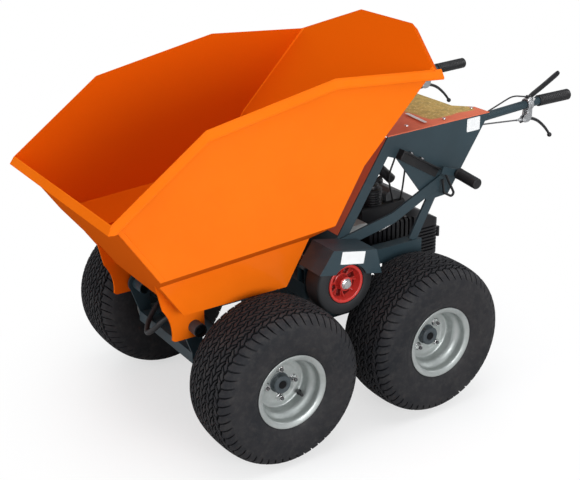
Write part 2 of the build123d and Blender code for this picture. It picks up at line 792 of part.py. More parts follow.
def axle_tube(x):
    """Tube across the machine that carries an axle."""
    end = WHEEL_Y + DISC_Y + DISC_T + HUB_OUT - HUB_LENGTH - HUB_CLEARANCE
    tube = bar_y(x, TYRE_R, AXLE_TUBE_R, -end, end)
    return tube - bar_y(x, TYRE_R, AXLE_R + SEAT, -end - SHEET, end + SHEET)


def axle_shaft(x):
    """Axle from hub to hub, its ends just inside the hubs' mouths."""
    end = WHEEL_Y + DISC_Y + DISC_T + HUB_OUT - HUB_CLEARANCE
    return bar_y(x, TYRE_R, AXLE_R, -end, end)


def front_beam():
    """Beam across the nose of the low rails."""
    z = TYRE_R + RAIL_UP
    x = BEAM_X - BEAM_W / 2
    return block(x, x + BEAM_W, -BEAM_HALF_W, BEAM_HALF_W, z, z + BEAM_H)


def pivot_upright():
    """Left upright from the front beam to the pivot tube."""
    base = TYRE_R + RAIL_UP + BEAM_H
    ring = PIVOT_R + UPRIGHT_EDGE
    left = BEAM_X - BEAM_W / 2
    corners = [
        (left, base),
        (left + BEAM_W, base),
        (PIVOT[0] + ring, PIVOT[1]),
        (PIVOT[0] - ring, PIVOT[1]),
    ]
    y = BEAM_HALF_W - UPRIGHT_T
    plate = side_plate(corners, y, BEAM_HALF_W)
    plate += bar_y(*PIVOT, ring, y, BEAM_HALF_W)
    return plate - bar_y(*PIVOT, PIVOT_R + SEAT, y - SHEET, BEAM_HALF_W + SHEET)


def pivot_tube():
    """Left stub tube that the skip's ear turns on."""
    tube = bar_y(*PIVOT, PIVOT_R, PIVOT_INNER_Y, PIVOT_HALF_L)
    return tube - bar_y(*PIVOT, PIVOT_R - TUBE_WALL, PIVOT_INNER_Y - SHEET, PIVOT_HALF_L + SHEET)


def frame_posts():
    """Left-hand posts on the low rail: one under the skip, two under the deck."""
    base = TYRE_R + RAIL_UP + RAIL_H
    y = RAIL_Y - RAIL_W / 2
    rest_top = BOTTOM_REAR[1] - PAD_GAP - PAD_T
    posts = []
    for x, top in (
        (PIVOT[0] - REST_BACK, rest_top),
        (DECK_FRONT - DECK_BEAM / 2, DECK_Z - DECK_BEAM),
        (DECK_REAR + DECK_BEAM / 2, DECK_Z - DECK_BEAM),
    ):
        posts.append(block(x - RAIL_W / 2, x + RAIL_W / 2, y, y + RAIL_W, base, top))
    return Compound(children=posts)


def rest_pad():
    """Rubber buffer under the skip's floor."""
    top = BOTTOM_REAR[1] - PAD_GAP
    return Pos(PIVOT[0] - REST_BACK, RAIL_Y, top - PAD_T / 2) * Cylinder(PAD_R, PAD_T)


def deck_beams():
    """Front and rear beams across the machine, under the deck rails."""
    beams = []
    for x in (DECK_FRONT - DECK_BEAM, DECK_REAR):
        beams.append(
            block(x, x + DECK_BEAM, -DECK_HALF_W, DECK_HALF_W, DECK_Z - DECK_BEAM, DECK_Z)
        )
    return Compound(children=beams)


def deck_rail():
    """Left deck rail, with the hole that the roller shaft passes."""
    y = DECK_HALF_W - DECK_RAIL_W
    rail = box_tube(DECK_REAR, DECK_FRONT, y, DECK_HALF_W, DECK_Z, DECK_TOP)
    return rail - bar_y(SHAFT_X, SHAFT_Z, SHAFT_HOLE_R, y - SHEET, DECK_HALF_W + SHEET)


def shaft_bearing():
    """Flanged bearing on the inner face of the left deck rail."""
    y = DECK_HALF_W - DECK_RAIL_W
    body = bar_y(SHAFT_X, SHAFT_Z, BEARING_R, y - BEARING_T, y)
    body -= block(DECK_REAR, DECK_FRONT, y - BEARING_T - SHEET, y + SHEET, 0, DECK_Z)
    return body - bar_y(SHAFT_X, SHAFT_Z, AXLE_R + FIT, y - BEARING_T - SHEET, y + SHEET)


def engine_plate():
    """Plate between the deck rails that the engine stands on."""
    half = DECK_HALF_W - DECK_RAIL_W
    front = SHAFT_X - BEARING_R - PLATE_T
    return block(DECK_REAR, front, -half, half, DECK_Z, DECK_Z + PLATE_T)


# ---- Roller guards -----------------------------------------------------------------------


def guard_point(forward, up):
    """A point given in the roller's tilted frame, as (x, z)."""
    lean = radians(GUARD_TILT)
    x = SHAFT_X + forward * cos(lean) - up * sin(lean)
    return (x, SHAFT_Z + forward * sin(lean) + up * cos(lean))


def guard_envelope():
    """The guard's outer form, solid."""
    corners = [
        guard_point(-GUARD_LOW_HALF_L, GUARD_LOW),
        guard_point(GUARD_LOW_HALF_L, GUARD_LOW),
        guard_point(GUARD_TOP_HALF_L, GUARD_TOP),
        guard_point(-GUARD_TOP_HALF_L, GUARD_TOP),
    ]
    return side_plate(corners, DECK_HALF_W, GUARD_OUT_Y)


def roller_guard():
    """Folded sheet hood over the left roller, with an arch cut for its rim."""
    slope = (GUARD_LOW_HALF_L - GUARD_TOP_HALF_L) / (GUARD_TOP - GUARD_LOW)
    end_wall = SHEET * sqrt(1 + slope**2)
    corners = []
    for sign, up in ((-1, GUARD_LOW - SHEET), (1, GUARD_LOW - SHEET)):
        corners.append(guard_point(sign * (GUARD_LOW_HALF_L + slope * SHEET - end_wall), up))
    for sign in (1, -1):
        reach = GUARD_TOP_HALF_L + slope * SHEET - end_wall
        corners.append(guard_point(sign * reach, GUARD_TOP - SHEET))
    hollow = side_plate(corners, DECK_HALF_W - SHEET, GUARD_OUT_Y - SHEET)
    arch = bar_y(SHAFT_X, SHAFT_Z, GUARD_CUT_R, GUARD_OUT_Y - 2 * SHEET, GUARD_OUT_Y + SHEET)
    return guard_envelope() - hollow - arch


# ---- Console -----------------------------------------------------------------------------


def console_plate():
    """Laser-cut side plate: carrier foot, leaning front post and console side in one."""
    lean = atan2(CONSOLE_FRONT_TOP[1] - POST_FOOT[1], CONSOLE_FRONT_TOP[0] - POST_FOOT[0])
    step = (-POST_W * sin(lean), POST_W * cos(lean))
    top_in = along(CONSOLE_FRONT_TOP, POST_FOOT, OPENING_DROP)
    corners = [
        (DECK_FRONT, DECK_TOP),
        CARRIER_FRONT,
        POST_FOOT,
        CONSOLE_FRONT_TOP,
        CONSOLE_REAR_TOP,
        CONSOLE_TIP,
        CONSOLE_LOW,
        OPENING_TOP,
        (top_in[0] + step[0], top_in[1] + step[1]),
        (POST_FOOT[0] + step[0], POST_FOOT[1] + step[1]),
        CARRIER_REAR_TOP,
        (CARRIER_REAR_X, DECK_TOP),
    ]
    return side_plate(corners, DECK_HALF_W - CONSOLE_T, DECK_HALF_W)


def console_cover():
    """Folded cover plate, waisted towards the rear, on top of both side plates."""
    edge = [CONSOLE_REAR_TOP, CONSOLE_FRONT_TOP]
    sheet = side_plate(band(edge, -COVER_T), -DECK_HALF_W, DECK_HALF_W)
    front, rear = CONSOLE_FRONT_TOP[0] + SHEET, CONSOLE_REAR_TOP[0] - SHEET
    half = DECK_HALF_W
    ear, waist = half - COVER_EAR_INSET, half - COVER_WAIST_INSET
    waist_x = CONSOLE_REAR_TOP[0] + COVER_WAIST_DEPTH
    plan = [
        (front, half),
        (front, -half),
        (rear, -half),
        (rear, -ear),
        (waist_x, -waist),
        (waist_x, waist),
        (rear, ear),
        (rear, half),
    ]
    window = Plane.XY.offset(CONSOLE_FRONT_TOP[1] - BEYOND / 2) * Polygon(*plan, align=None)
    return sheet & extrude(window, amount=BEYOND, dir=(0, 0, 1))


def strut():
    """Left diagonal flat bar, bent once, from the roller guard to the console's low corner."""
    chain = [STRUT_FOOT, STRUT_BEND, STRUT_HEAD]
    upper = band(chain, -STRUT_W / 2)[: 2 * len(chain)]
    under = band(chain, STRUT_W / 2)
    corners = [*reversed(upper[len(chain) :]), *under[len(chain) :]]
    bar = side_plate(corners, DECK_HALF_W, DECK_HALF_W + STRUT_T)
    return bar - guard_envelope()


def rear_post():
    """Left post from the deck rail to the inside of the console's lower corner."""
    corners = flat_bar(REAR_POST_LOW, REAR_POST_HIGH, REAR_POST_W)
    y = DECK_HALF_W - CONSOLE_T
    bar = side_plate(corners, y - STRUT_T, y)
    below = block(CONSOLE_REAR_TOP[0], SHAFT_X, 0, DECK_HALF_W, 0, DECK_TOP)
    return bar - below


# ---- Handles and controls ----------------------------------------------------------------


def at(point, y):
    """A side-view point (x, z) with its sideways distance."""
    return (point[0], y, point[1])


def rod(start, end, radius):
    """A round rod between two points in space."""
    line = Vector(*end) - Vector(*start)
    return Plane(start, z_dir=line) * Pos(0, 0, line.length / 2) * Cylinder(radius, line.length)


def handle_path():
    """Centre line of the left handle tube."""
    start = at(HANDLE_START, HANDLE_Y)
    bend = at(HANDLE_BEND, HANDLE_Y)
    end = at((GRIP_END[0] + GRIP_END_CAP, GRIP_END[1]), GRIP_END_Y)
    return FilletPolyline(start, bend, at(GRIP_START, GRIP_START_Y), end, radius=HANDLE_BEND_R)


def handle_run(radius):
    """A round bar along the handle's centre line."""
    path = handle_path()
    return sweep(Plane(path @ 0, z_dir=path % 0) * Circle(radius), path=path)


def handle_tube():
    """Left handle tube along the side plate's inner face and back to the grip."""
    return handle_run(HANDLE_R)


def grip():
    """Left hand grip, closed at its rear end."""
    body = rod(at(GRIP_START, GRIP_START_Y), at(GRIP_END, GRIP_END_Y), GRIP_R)
    return body - handle_run(HANDLE_R + SEAT)


def grip_lever():
    """Left lever below the grip, in the plane of the handle, with a ball end."""
    half = LEVER_T / 2
    lever = side_plate(band(LEVER_ROUTE, LEVER_W), GRIP_START_Y - half, GRIP_START_Y + half)
    return lever + Pos(*at(LEVER_ROUTE[-1], GRIP_START_Y)) * Sphere(LEVER_BALL_R)


def clamp_block():
    """The left clamp's outer form."""
    x, z = GRIP_START
    x += CLAMP_AHEAD
    low, high = GRIP_START_Y - CLAMP_W / 2, GRIP_START_Y + CLAMP_W / 2
    return block(x, x + CLAMP_T, low, high, z - CLAMP_DOWN, z + CLAMP_UP)


def lever_clamp():
    """Left clamp on the handle tube that the lever turns in."""
    x, z = GRIP_START
    half = LEVER_T / 2 + SLOT_CLEARANCE
    low, high = GRIP_START_Y - half, GRIP_START_Y + half
    ahead = x + CLAMP_AHEAD + 2 * CLAMP_T
    slot = block(x, ahead, low, high, z - 2 * CLAMP_DOWN, z - HANDLE_R - CLAMP_AHEAD / 2)
    return clamp_block() - slot - handle_run(HANDLE_R + SEAT)


def lever_rod():
    """Left thin rod from the side plate's rear edge to the lever."""
    inside = DECK_HALF_W - CONSOLE_T - SEAT - ROD_R
    return rod(at(ROD_START, inside), at(ROD_END, GRIP_START_Y), ROD_R)


def bow_cable():
    """Control cable that bows from the cover's left rear corner up to the clamp."""
    points = [at(point, GRIP_START_Y) for point in (BOW_START, BOW_TOP, BOW_END)]
    path = FilletPolyline(*points, radius=BOW_BEND_R)
    return sweep(Plane(path @ 0, z_dir=path % 0) * Circle(ROD_R), path=path)


def top_lever():
    """Straight lever above the left grip."""
    corners = flat_bar(TOP_LEVER_LOW, TOP_LEVER_HIGH, TOP_LEVER_W)
    bar = side_plate(corners, GRIP_START_Y - LEVER_T / 2, GRIP_START_Y + LEVER_T / 2)
    ends = bar.edges().filter_by(Axis.Y)
    return fillet(ends, TOP_LEVER_W / 2 - SLOT_CLEARANCE) - clamp_block() - handle_run(HANDLE_R)


# ---- Tip latch ---------------------------------------------------------------------------


def latch_bracket():
    """Angle bolted on the left side plate, closed at its front end."""
    out = DECK_HALF_W + LATCH_OUT
    face = side_plate(band([LATCH_FRONT, LATCH_REAR], -LATCH_H), DECK_HALF_W, DECK_HALF_W + LATCH_T)
    ledge = side_plate(band([LATCH_FRONT, LATCH_REAR], -LATCH_T), DECK_HALF_W, out)
    end = band([LATCH_FRONT, along(LATCH_FRONT, LATCH_REAR, LATCH_T)], -LATCH_H)
    return face + ledge + side_plate(end, DECK_HALF_W, out)


def spring_rod():
    """Bent round rod of the latch, a triangle behind the side plate's low corner."""
    y = DECK_HALF_W + SPRING_ROD_OUT
    points = [at(point, y) for point in SPRING_ROD]
    path = FilletPolyline(*points, radius=SPRING_ROD_BEND_R)
    return sweep(Plane(path @ 0, z_dir=path % 0) * Circle(SPRING_ROD_R), path=path)


def tip_arm():
    """Arm of the tip latch, outside the bracket, with the bar that its grip is on."""
    y = DECK_HALF_W + LATCH_OUT
    arm = side_plate(flat_bar(TIP_ARM_HEAD, TIP_ARM_FOOT, TIP_ARM_W), y, y + TIP_ARM_T)
    start, end = tip_grip_ends()
    back = (start - end).normalized() * (TIP_GRIP_OUT - LATCH_OUT - TIP_ARM_T / 2)
    return arm + rod(tuple(start + back), tuple(end), TIP_BAR_R)


def tip_grip_ends():
    """Centre of the tip grip's inner and outer faces."""
    x, z = TIP_ARM_FOOT
    y = DECK_HALF_W + TIP_GRIP_OUT
    lean = asin(TIP_GRIP_DROP / TIP_GRIP_L)
    start = Vector(x, y, z)
    return start, start + Vector(0, TIP_GRIP_L * cos(lean), -TIP_GRIP_L * sin(lean))


def tip_grip():
    """Rubber grip on the tip latch's bar."""
    start, end = tip_grip_ends()
    way = (end - start).normalized()
    outer = rod(tuple(start), tuple(end + way * GRIP_END_CAP), TIP_GRIP_R)
    return outer - rod(tuple(start - way * SHEET), tuple(end + way * SEAT), TIP_BAR_R + SEAT)


# ---- Engine ------------------------------------------------------------------------------


def engine_block():
    """Heavy crankcase, finned on its left, with the narrower cowl on its top."""
    base = DECK_Z + PLATE_T
    half = ENGINE_HALF_W
    case = block(ENGINE_REAR, ENGINE_FRONT, -half, half, base, base + ENGINE_H)
    case = fillet(case.faces().sort_by(Axis.Z)[-1].edges().filter_by(Axis.X), ENGINE_EDGE_R)
    first, last = ENGINE_REAR + FIN_EDGE, ENGINE_FRONT - FIN_EDGE - FIN_SLOT_W
    for slot in range(FIN_SLOTS):
        x = first + (last - first) * slot / (FIN_SLOTS - 1)
        case -= block(x, x + FIN_SLOT_W, half - FIN_SLOT_D, half, base + FIN_EDGE, base + ENGINE_H)
    top = engine_top()
    cowl = block(ENGINE_REAR, ENGINE_FRONT, -half, COWL_LEFT, top - COWL_H, top)
    edges = cowl.faces().sort_by(Axis.Z)[-1].edges().filter_by(Axis.X)
    return case + fillet(edges, ENGINE_EDGE_R)


def engine_top():
    """Height of the cowl's top face."""
    return DECK_Z + PLATE_T + ENGINE_H + COWL_H


def fan_housing():
    """Louvred housing behind the engine, its air slots cut round three sides."""
    rear = ENGINE_REAR - FAN_L
    body = block(rear, ENGINE_REAR, FAN_RIGHT, FAN_LEFT, FAN_LOW, FAN_HIGH)
    corners = body.edges().filter_by(Axis.Z).group_by(Axis.X)[0]
    body = fillet(corners, FAN_EDGE_R)
    slope = [
        (rear - SHEET, FAN_HIGH - FAN_TOP_H),
        (rear + FAN_TOP_L, FAN_HIGH + SHEET),
        (rear - SHEET, FAN_HIGH + SHEET),
    ]
    body -= side_plate(slope, FAN_RIGHT - SHEET, FAN_LEFT + SHEET)
    pitch = (FAN_HIGH - FAN_TOP_H - FAN_LOW - FAN_EDGE_R) / FAN_GROOVES
    depth = FAN_GROOVE_D
    core = block(
        rear + depth, ENGINE_REAR - depth, FAN_RIGHT + depth, FAN_LEFT - depth, FAN_LOW, FAN_HIGH
    )
    core = fillet(core.edges().filter_by(Axis.Z).group_by(Axis.X)[0], FAN_EDGE_R - depth)
    for row in range(FAN_GROOVES):
        z = FAN_LOW + FAN_EDGE_R / 2 + (row + 0.5) * pitch
        slot = block(
            rear, ENGINE_REAR - depth, FAN_RIGHT, FAN_LEFT, z - FAN_GROOVE_W / 2, z + FAN_GROOVE_W / 2
        )
        body -= slot - core
    return body


def gearbox():
    """Drive box in front of the engine, round the roller shaft."""
    front = DECK_FRONT - DECK_BEAM
    half = GEARBOX_HALF_W
    low, high = DECK_Z - GEARBOX_DOWN, DECK_Z + GEARBOX_UP
    box = block(ENGINE_FRONT, front, -half, half, low, high)
    box = fillet(box.faces().sort_by(Axis.Z)[-1].edges().filter_by(Axis.X), GEARBOX_EDGE_R)
    under = SHAFT_X - BEARING_R - PLATE_T
    box -= block(DECK_REAR, under, -2 * half, 2 * half, 0, DECK_Z + PLATE_T)
    return box - bar_y(SHAFT_X, SHAFT_Z, AXLE_R + FIT, -2 * half, 2 * half)


def fuel_tank():
    """Rounded tank on the cowl, falling away over the fan housing."""
    body = side_plate(TANK_PROFILE, TANK_RIGHT, TANK_LEFT)
    upper = body.edges().filter_by(Axis.Y).group_by(Axis.Z)[-2:]
    return fillet([edge for group in upper for edge in group], TANK_EDGE_R)


def air_filter():
    """Ribbed round air filter with a stepped cap."""
    base = engine_top()
    x, y = FILTER
    body = Pos(x, y, base + FILTER_H / 2) * Cylinder(FILTER_R, FILTER_H)
    pitch = FILTER_H / (2 * FILTER_RIBS)
    for rib in range(FILTER_RIBS):
        z = base + (2 * rib + 1) * pitch
        ring = Cylinder(FILTER_R + SHEET, pitch / 2) - Cylinder(FILTER_R - FILTER_RIB_D, pitch)
        body -= Pos(x, y, z) * ring
    return body + Pos(x, y, base + FILTER_H + FILTER_CAP_H / 2) * Cylinder(FILTER_CAP_R, FILTER_CAP_H)


def muffler():
    """Rounded silencer box on the crankcase's front left corner."""
    base = DECK_Z + PLATE_T + ENGINE_H - MUFFLER_H / 2
    body = block(ENGINE_FRONT, MUFFLER_FRONT, MUFFLER_RIGHT, MUFFLER_LEFT, base, base + MUFFLER_H)
    return fillet(body.edges().filter_by(Axis.Y), MUFFLER_EDGE_R)


def shift_lever():
    """Drive lever with a cross knob, reached through the left opening."""
    stem = rod(SHIFT_FOOT, SHIFT_HEAD, SHIFT_R)
    x, y, z = SHIFT_HEAD
    way = Vector(*SHIFT_HEAD) - Vector(*SHIFT_FOOT)
    across = Vector(-way.Z, 0, way.X).normalized() * (KNOB_L / 2)
    centre = Vector(x, y, z)
    foot_x, foot_y, foot_z = SHIFT_FOOT
    boss = Pos(foot_x, foot_y, foot_z - SHIFT_BOSS_H / 2) * Cylinder(SHIFT_BOSS_R, SHIFT_BOSS_H)
    return stem + boss + rod(tuple(centre - across), tuple(centre + across), KNOB_R)


def pull_grip():
    """Starter's pull grip on the back of the fan housing."""
    y, z = PULL_GRIP
    rear = ENGINE_REAR - FAN_L
    stem = rod((rear, y, z), (rear - PULL_GRIP_OUT, y, z), PULL_GRIP_R / 2)
    half = PULL_GRIP_L / 2
    return stem + rod((rear - PULL_GRIP_OUT, y, z - half), (rear - PULL_GRIP_OUT, y, z + half), PULL_GRIP_R)


def cable(bends):
    """Control cable from under the console's cover down to the engine."""
    points = [(SHAFT_X + forward, y, SHAFT_Z + up) for forward, y, up in bends]
    path = FilletPolyline(*points, radius=CABLE_BEND_R)
    return sweep(Plane(path @ 0, z_dir=path % 0) * Circle(CABLE_R), path=path)


def console_shield():
    """Sheet down the front posts that keeps spilt material off the engine."""
    half = DECK_HALF_W - CONSOLE_T - SEAT
    top = along(CONSOLE_FRONT_TOP, POST_FOOT, COVER_T)
    foot = along(POST_FOOT, CONSOLE_FRONT_TOP, POST_W)
    return side_plate(band([foot, top], -COVER_T), -half, half)


def main():
    """Writes every sub-part."""
    os.makedirs("parts", exist_ok=True)
    road_wheels()
    rollers()
    write("skip_shell", skip_shell())
    write("skip_ears", both_sides(skip_ear()))
    write("low_rails", both_sides(low_rail()))
    write("axle_tubes", Compound(children=[axle_tube(0.0), axle_tube(-WHEELBASE)]))
    write("axle_shafts", Compound(children=[axle_shaft(0.0), axle_shaft(-WHEELBASE)]))
    write("front_beam", front_beam())
    write("pivot_uprights", both_sides(pivot_upright()))
    write("pivot_tubes", both_sides(pivot_tube()))
    write("frame_posts", both_sides(frame_posts()))
    write("rest_pads", both_sides(rest_pad()))
    write("deck_beams", deck_beams())
    write("deck_rails", both_sides(deck_rail()))
    write("shaft_bearings", both_sides(shaft_bearing()))
    write("engine_plate", engine_plate())
    write("roller_guards", both_sides(roller_guard()))
    write("console_plates", both_sides(console_plate()))
    write("console_cover", console_cover())
    write("console_shield", console_shield())
    write("struts", both_sides(strut()))
    write("rear_posts", both_sides(rear_post()))
    write("handle_tubes", both_sides(handle_tube()))
    write("grips", both_sides(grip()))
    write("grip_levers", both_sides(grip_lever()))
    write("lever_clamps", both_sides(lever_clamp()))
    write("lever_rods", both_sides(lever_rod()))
    write("bow_cable", bow_cable())
    write("top_lever", top_lever())
    write("latch_bracket", latch_bracket())
    write("latch_rod", spring_rod())
    write("tip_lever", tip_arm())
    write("tip_grip", tip_grip())
    write("engine_block", engine_block())
    write("fan_housing", fan_housing())
    write("gearbox", gearbox())
    write("fuel_tank", fuel_tank())
    write("air_filter", air_filter())
    write("muffler", muffler())
    write("shift_lever", shift_lever())
    write("recoil_grip", pull_grip())
    write("cables", Compound(children=[cable(bends) for bends in CABLES]))


main()
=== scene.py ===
from math import cos, pi, radians, sin
import bmesh
import bpy
import numpy as np
from mathutils import Matrix, Vector


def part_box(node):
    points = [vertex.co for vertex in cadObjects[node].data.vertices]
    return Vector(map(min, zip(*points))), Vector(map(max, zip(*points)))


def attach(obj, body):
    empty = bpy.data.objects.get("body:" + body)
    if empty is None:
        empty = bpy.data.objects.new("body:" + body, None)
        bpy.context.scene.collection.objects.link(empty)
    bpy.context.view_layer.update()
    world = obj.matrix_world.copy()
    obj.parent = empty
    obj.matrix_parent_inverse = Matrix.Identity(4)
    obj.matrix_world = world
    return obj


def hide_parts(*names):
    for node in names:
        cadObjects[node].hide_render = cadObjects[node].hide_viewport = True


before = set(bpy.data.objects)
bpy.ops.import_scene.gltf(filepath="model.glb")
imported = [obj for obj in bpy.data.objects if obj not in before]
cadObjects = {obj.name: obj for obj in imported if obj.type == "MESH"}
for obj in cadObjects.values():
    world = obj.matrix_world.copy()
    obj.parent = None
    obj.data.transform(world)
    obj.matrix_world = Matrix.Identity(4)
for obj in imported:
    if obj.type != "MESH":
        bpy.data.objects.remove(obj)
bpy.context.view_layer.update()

print("frame loaded:", len(cadObjects), "nodes")


def middleOf(name):
    # the middle of a node's box: low corner plus half of high corner less low corner
    low, high = (np.array(corner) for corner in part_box(name))
    return low + (high - low) * 0.5


def gridFaces(rows, cols, wrapRows=False, wrapCols=False):
    # faces between stations (i, j) and (i + 1, j + 1) of a rows by cols grid
    i, j = np.meshgrid(np.arange(rows if wrapRows else rows - 1),
                       np.arange(cols if wrapCols else cols - 1), indexing="ij")
    nextI, nextJ = (i + 1) % rows, (j + 1) % cols
    corners = [i * cols + j, nextI * cols + j, nextI * cols + nextJ, i * cols + nextJ]
    return np.stack(corners, -1).reshape(-1, 4)


def merged(parts):
    # several (points, faces) pairs as one, each part's faces counted on from the last
    points, faces, start = [], [], 0
    for partPoints, partFaces in parts:
        points.append(partPoints.reshape(-1, 3))
        faces.append(partFaces + start)
        start += len(points[-1])
    return np.concatenate(points), np.concatenate(faces)


def mirrored(part):
    # the part and its image across the middle plane, y to -y
    points, faces = part
    image = points.reshape(-1, 3) * np.array([1, -1, 1])
    return merged([part, (image, faces[:, ::-1])])


def linked(name, data):
    # an object for some data, in the scene
    made = bpy.data.objects.new(name, data)
    bpy.context.scene.collection.objects.link(made)
    return made


def startMesh(name, points, faces):
    # a mesh of points and faces
    mesh = bpy.data.meshes.new(name)
    mesh.from_pydata(points.reshape(-1, 3).tolist(), [], faces.tolist())
    return mesh


def addPiece(name, part, finish, replaces=(), body="chassis", angle=35, values=None):
    # points and faces as a piece: doubles merged, faces turned outwards, edges sharp where they bend
    # by more than the angle, and values kept as a mask of its points that places painted shade in recesses, and
    # on tyres dust as well
    mesh = startMesh(name, *part)
    if values is not None:
        layer = mesh.attributes.new("recessShadeAndDustMask", "FLOAT", "POINT")
        layer.data.foreach_set("value", values.ravel().astype(np.float32))
    shape = bmesh.new()
    shape.from_mesh(mesh)
    bmesh.ops.remove_doubles(shape, verts=shape.verts, dist=2e-6)
    bmesh.ops.dissolve_degenerate(shape, dist=1e-7, edges=shape.edges)
    bmesh.ops.recalc_face_normals(shape, faces=shape.faces)
    shape.to_mesh(mesh)
    shape.free()
    mesh.shade_smooth()
    mesh.set_sharp_from_angle(angle=radians(angle))
    mesh.materials.append(finishes[finish])
    piece = linked(name, mesh)
    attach(piece, body)
    if replaces:
        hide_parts(*replaces)


def softened(corners, radius):
    # each corner becomes a short curve: (1-t)^2 A + 2t(1-t) corner + t^2 B
    corners = np.asarray(corners, float)
    radius = np.broadcast_to(radius, len(corners))[:, None]
    toBefore, toAfter = np.roll(corners, 1, 0) - corners, np.roll(corners, -1, 0) - corners
    lengthBefore = np.linalg.norm(toBefore, axis=1, keepdims=True)
    lengthAfter = np.linalg.norm(toAfter, axis=1, keepdims=True)
    start = corners + toBefore / lengthBefore * np.minimum(radius, lengthBefore * 0.45)
    end = corners + toAfter / lengthAfter * np.minimum(radius, lengthAfter * 0.45)
    t = np.linspace(0, 1, 5)[:, None]
    curve = (1 - t) ** 2 * start[:, None] + 2 * t * (1 - t) * corners[:, None] + t**2 * end[:, None]
    return curve.reshape(-1, corners.shape[1])


def unit(vector):
    # the vector, or each vector of a row, over its length
    return vector / np.linalg.norm(vector, axis=-1, keepdims=True)


def axes(direction):
    # a unit direction w and two more at right angles to it: u along up x w, v = w x u
    w = unit(direction)
    u = unit(np.cross((0, 0, 1) if abs(w[2]) < 0.9 else (1, 0, 0), w))
    return u, np.cross(w, u), w


def turned(profile, centre, direction, segments=48, phase=0, closed=False):
    # a profile (radius, distance along) turned about a line: centre + w s + r (cos a u + sin a v)
    profile = np.asarray(profile, float)
    u, v, w = axes(direction)
    angle = np.linspace(0, 2 * pi, segments, endpoint=False)[:, None] + phase
    ring = np.cos(angle)[..., None] * u + np.sin(angle)[..., None] * v
    return (profile[:, 1, None] * w + profile[:, 0, None] * ring + centre,
            gridFaces(segments, len(profile), True, closed))


def swept(path, radius, side, segments=16):
    # a circle carried along a path: p + r (cos a side + sin a (t x side)), its radius 0 at both ends
    way = unit(np.gradient(path, axis=0))
    first = unit(side - way * (way @ side)[:, None])
    second = np.cross(way, first)
    radius = np.r_[0, np.broadcast_to(radius, len(path)), 0]
    path, first, second = (np.concatenate([row[:1], row, row[-1:]]) for row in (path, first, second))
    angle = np.linspace(0, 2 * pi, segments, endpoint=False)[None, :, None]
    ring = np.cos(angle) * first[:, None] + np.sin(angle) * second[:, None]
    return path[:, None] + radius[:, None, None] * ring, gridFaces(len(path), segments, False, True)


def curveThrough(points, count):
    # Catmull-Rom curve through points, as a weighted sum of each four neighbours
    points = np.asarray(points, float)
    place = np.linspace(0, len(points) - 1, count)
    i = np.minimum(place.astype(int), len(points) - 2)
    t = (place - i)[:, None]
    a, b = points[np.maximum(i - 1, 0)], points[i]
    c, d = points[i + 1], points[np.minimum(i + 2, len(points) - 1)]
    return 0.5 * (2 * b + (c - a) * t + (2 * a - 5 * b + 4 * c - d) * t**2 + (3 * b - a - 3 * c + d) * t**3)


def tablet(centre, across, up, halfAcross, halfUp, thick, corner):
    # rings of a closed plate, each a rounded rectangle |x/a|^n + |y/b|^n = 1 scaled and raised:
    # bottom, wall, rounded edge and top
    across, up = unit(across), unit(up)
    angle = np.linspace(0, 2 * pi, 56, endpoint=False)
    reach = (np.abs(np.cos(angle)) ** corner + np.abs(np.sin(angle)) ** corner) ** (-1 / corner)
    x = (halfAcross * reach * np.cos(angle))[None, :, None]
    y = (halfUp * reach * np.sin(angle))[None, :, None]
    scale, height = np.array([(0, 0), (1, 0), (1, 0.7 * thick), (0.997, thick), (0.6, thick), (0, thick)]).T
    points = scale[:, None, None] * (x * across + y * up) + height[:, None, None] * np.cross(across, up) + centre
    return points, gridFaces(len(scale), 56, False, True)


def boltHead(centre, direction, across, height, washer):
    # a six-sided head (r, s) with a chamfered top on a round washer, both turned about the bolt's line
    washerRing = [(0, 0), (washer, 0.0002), (washer * 0.9, 0.0016), (across, 0.0016)]
    head = [(across * 1.15, 0.0014), (across * 1.15, height * 0.85), (across * 0.9, height), (0, height)]
    return merged([turned(washerRing, centre, direction, 12), turned(head, centre, direction, 6)])


def domeHead(centre, direction, radius, height):
    # a round head: r = R cos t, h = H sin t
    t = np.linspace(0, pi / 2, 4)
    profile = np.c_[np.r_[radius, radius * np.cos(t)], np.r_[-0.0004, height * np.sin(t)]]
    return turned(profile, centre, direction, 12)


def setInputs(tree, made, inputs):
    # a node's inputs, by position or name, from values or other nodes' outputs
    for key, value in inputs.items():
        if hasattr(value, "is_output"):
            tree.links.new(value, made.inputs[key])
        else:
            made.inputs[key].default_value = value


def node(tree, kind, inputs=None, **settings):
    # a node with its settings and its inputs
    made = tree.nodes.new("ShaderNode" + kind)
    for key, value in settings.items():
        setattr(made, key, value)
    setInputs(tree, made, inputs or {})
    return made


def noise(tree, scale, detail=2, roughness=0.5):
    # layered noise on object coordinates
    place = node(tree, "TexCoord").outputs["Object"]
    ends = {"Vector": place, "Scale": scale, "Detail": detail, "Roughness": roughness}
    return node(tree, "TexNoise", ends).outputs["Fac"]


def ramp(tree, value, start, end, low=0, high=1, **settings):
    # low where the value is at start, high where it is at end, and held outside them
    return node(tree, "MapRange", {0: value, 1: start, 2: end, 3: low, 4: high}, **settings).outputs[0]


def calc(tree, operation, *values, clamp=False):
    # one sum on numbers and outputs
    return node(tree, "Math", dict(enumerate(values)), operation=operation, use_clamp=clamp).outputs[0]


def mix(tree, share, first, second):
    # the first colour where the share is 0, the second where it is 1
    first, second = (end if hasattr(end, "is_output") else (*end, 1) for end in (first, second))
    return node(tree, "Mix", {0: share, 6: first, 7: second}, data_type="RGBA").outputs[2]


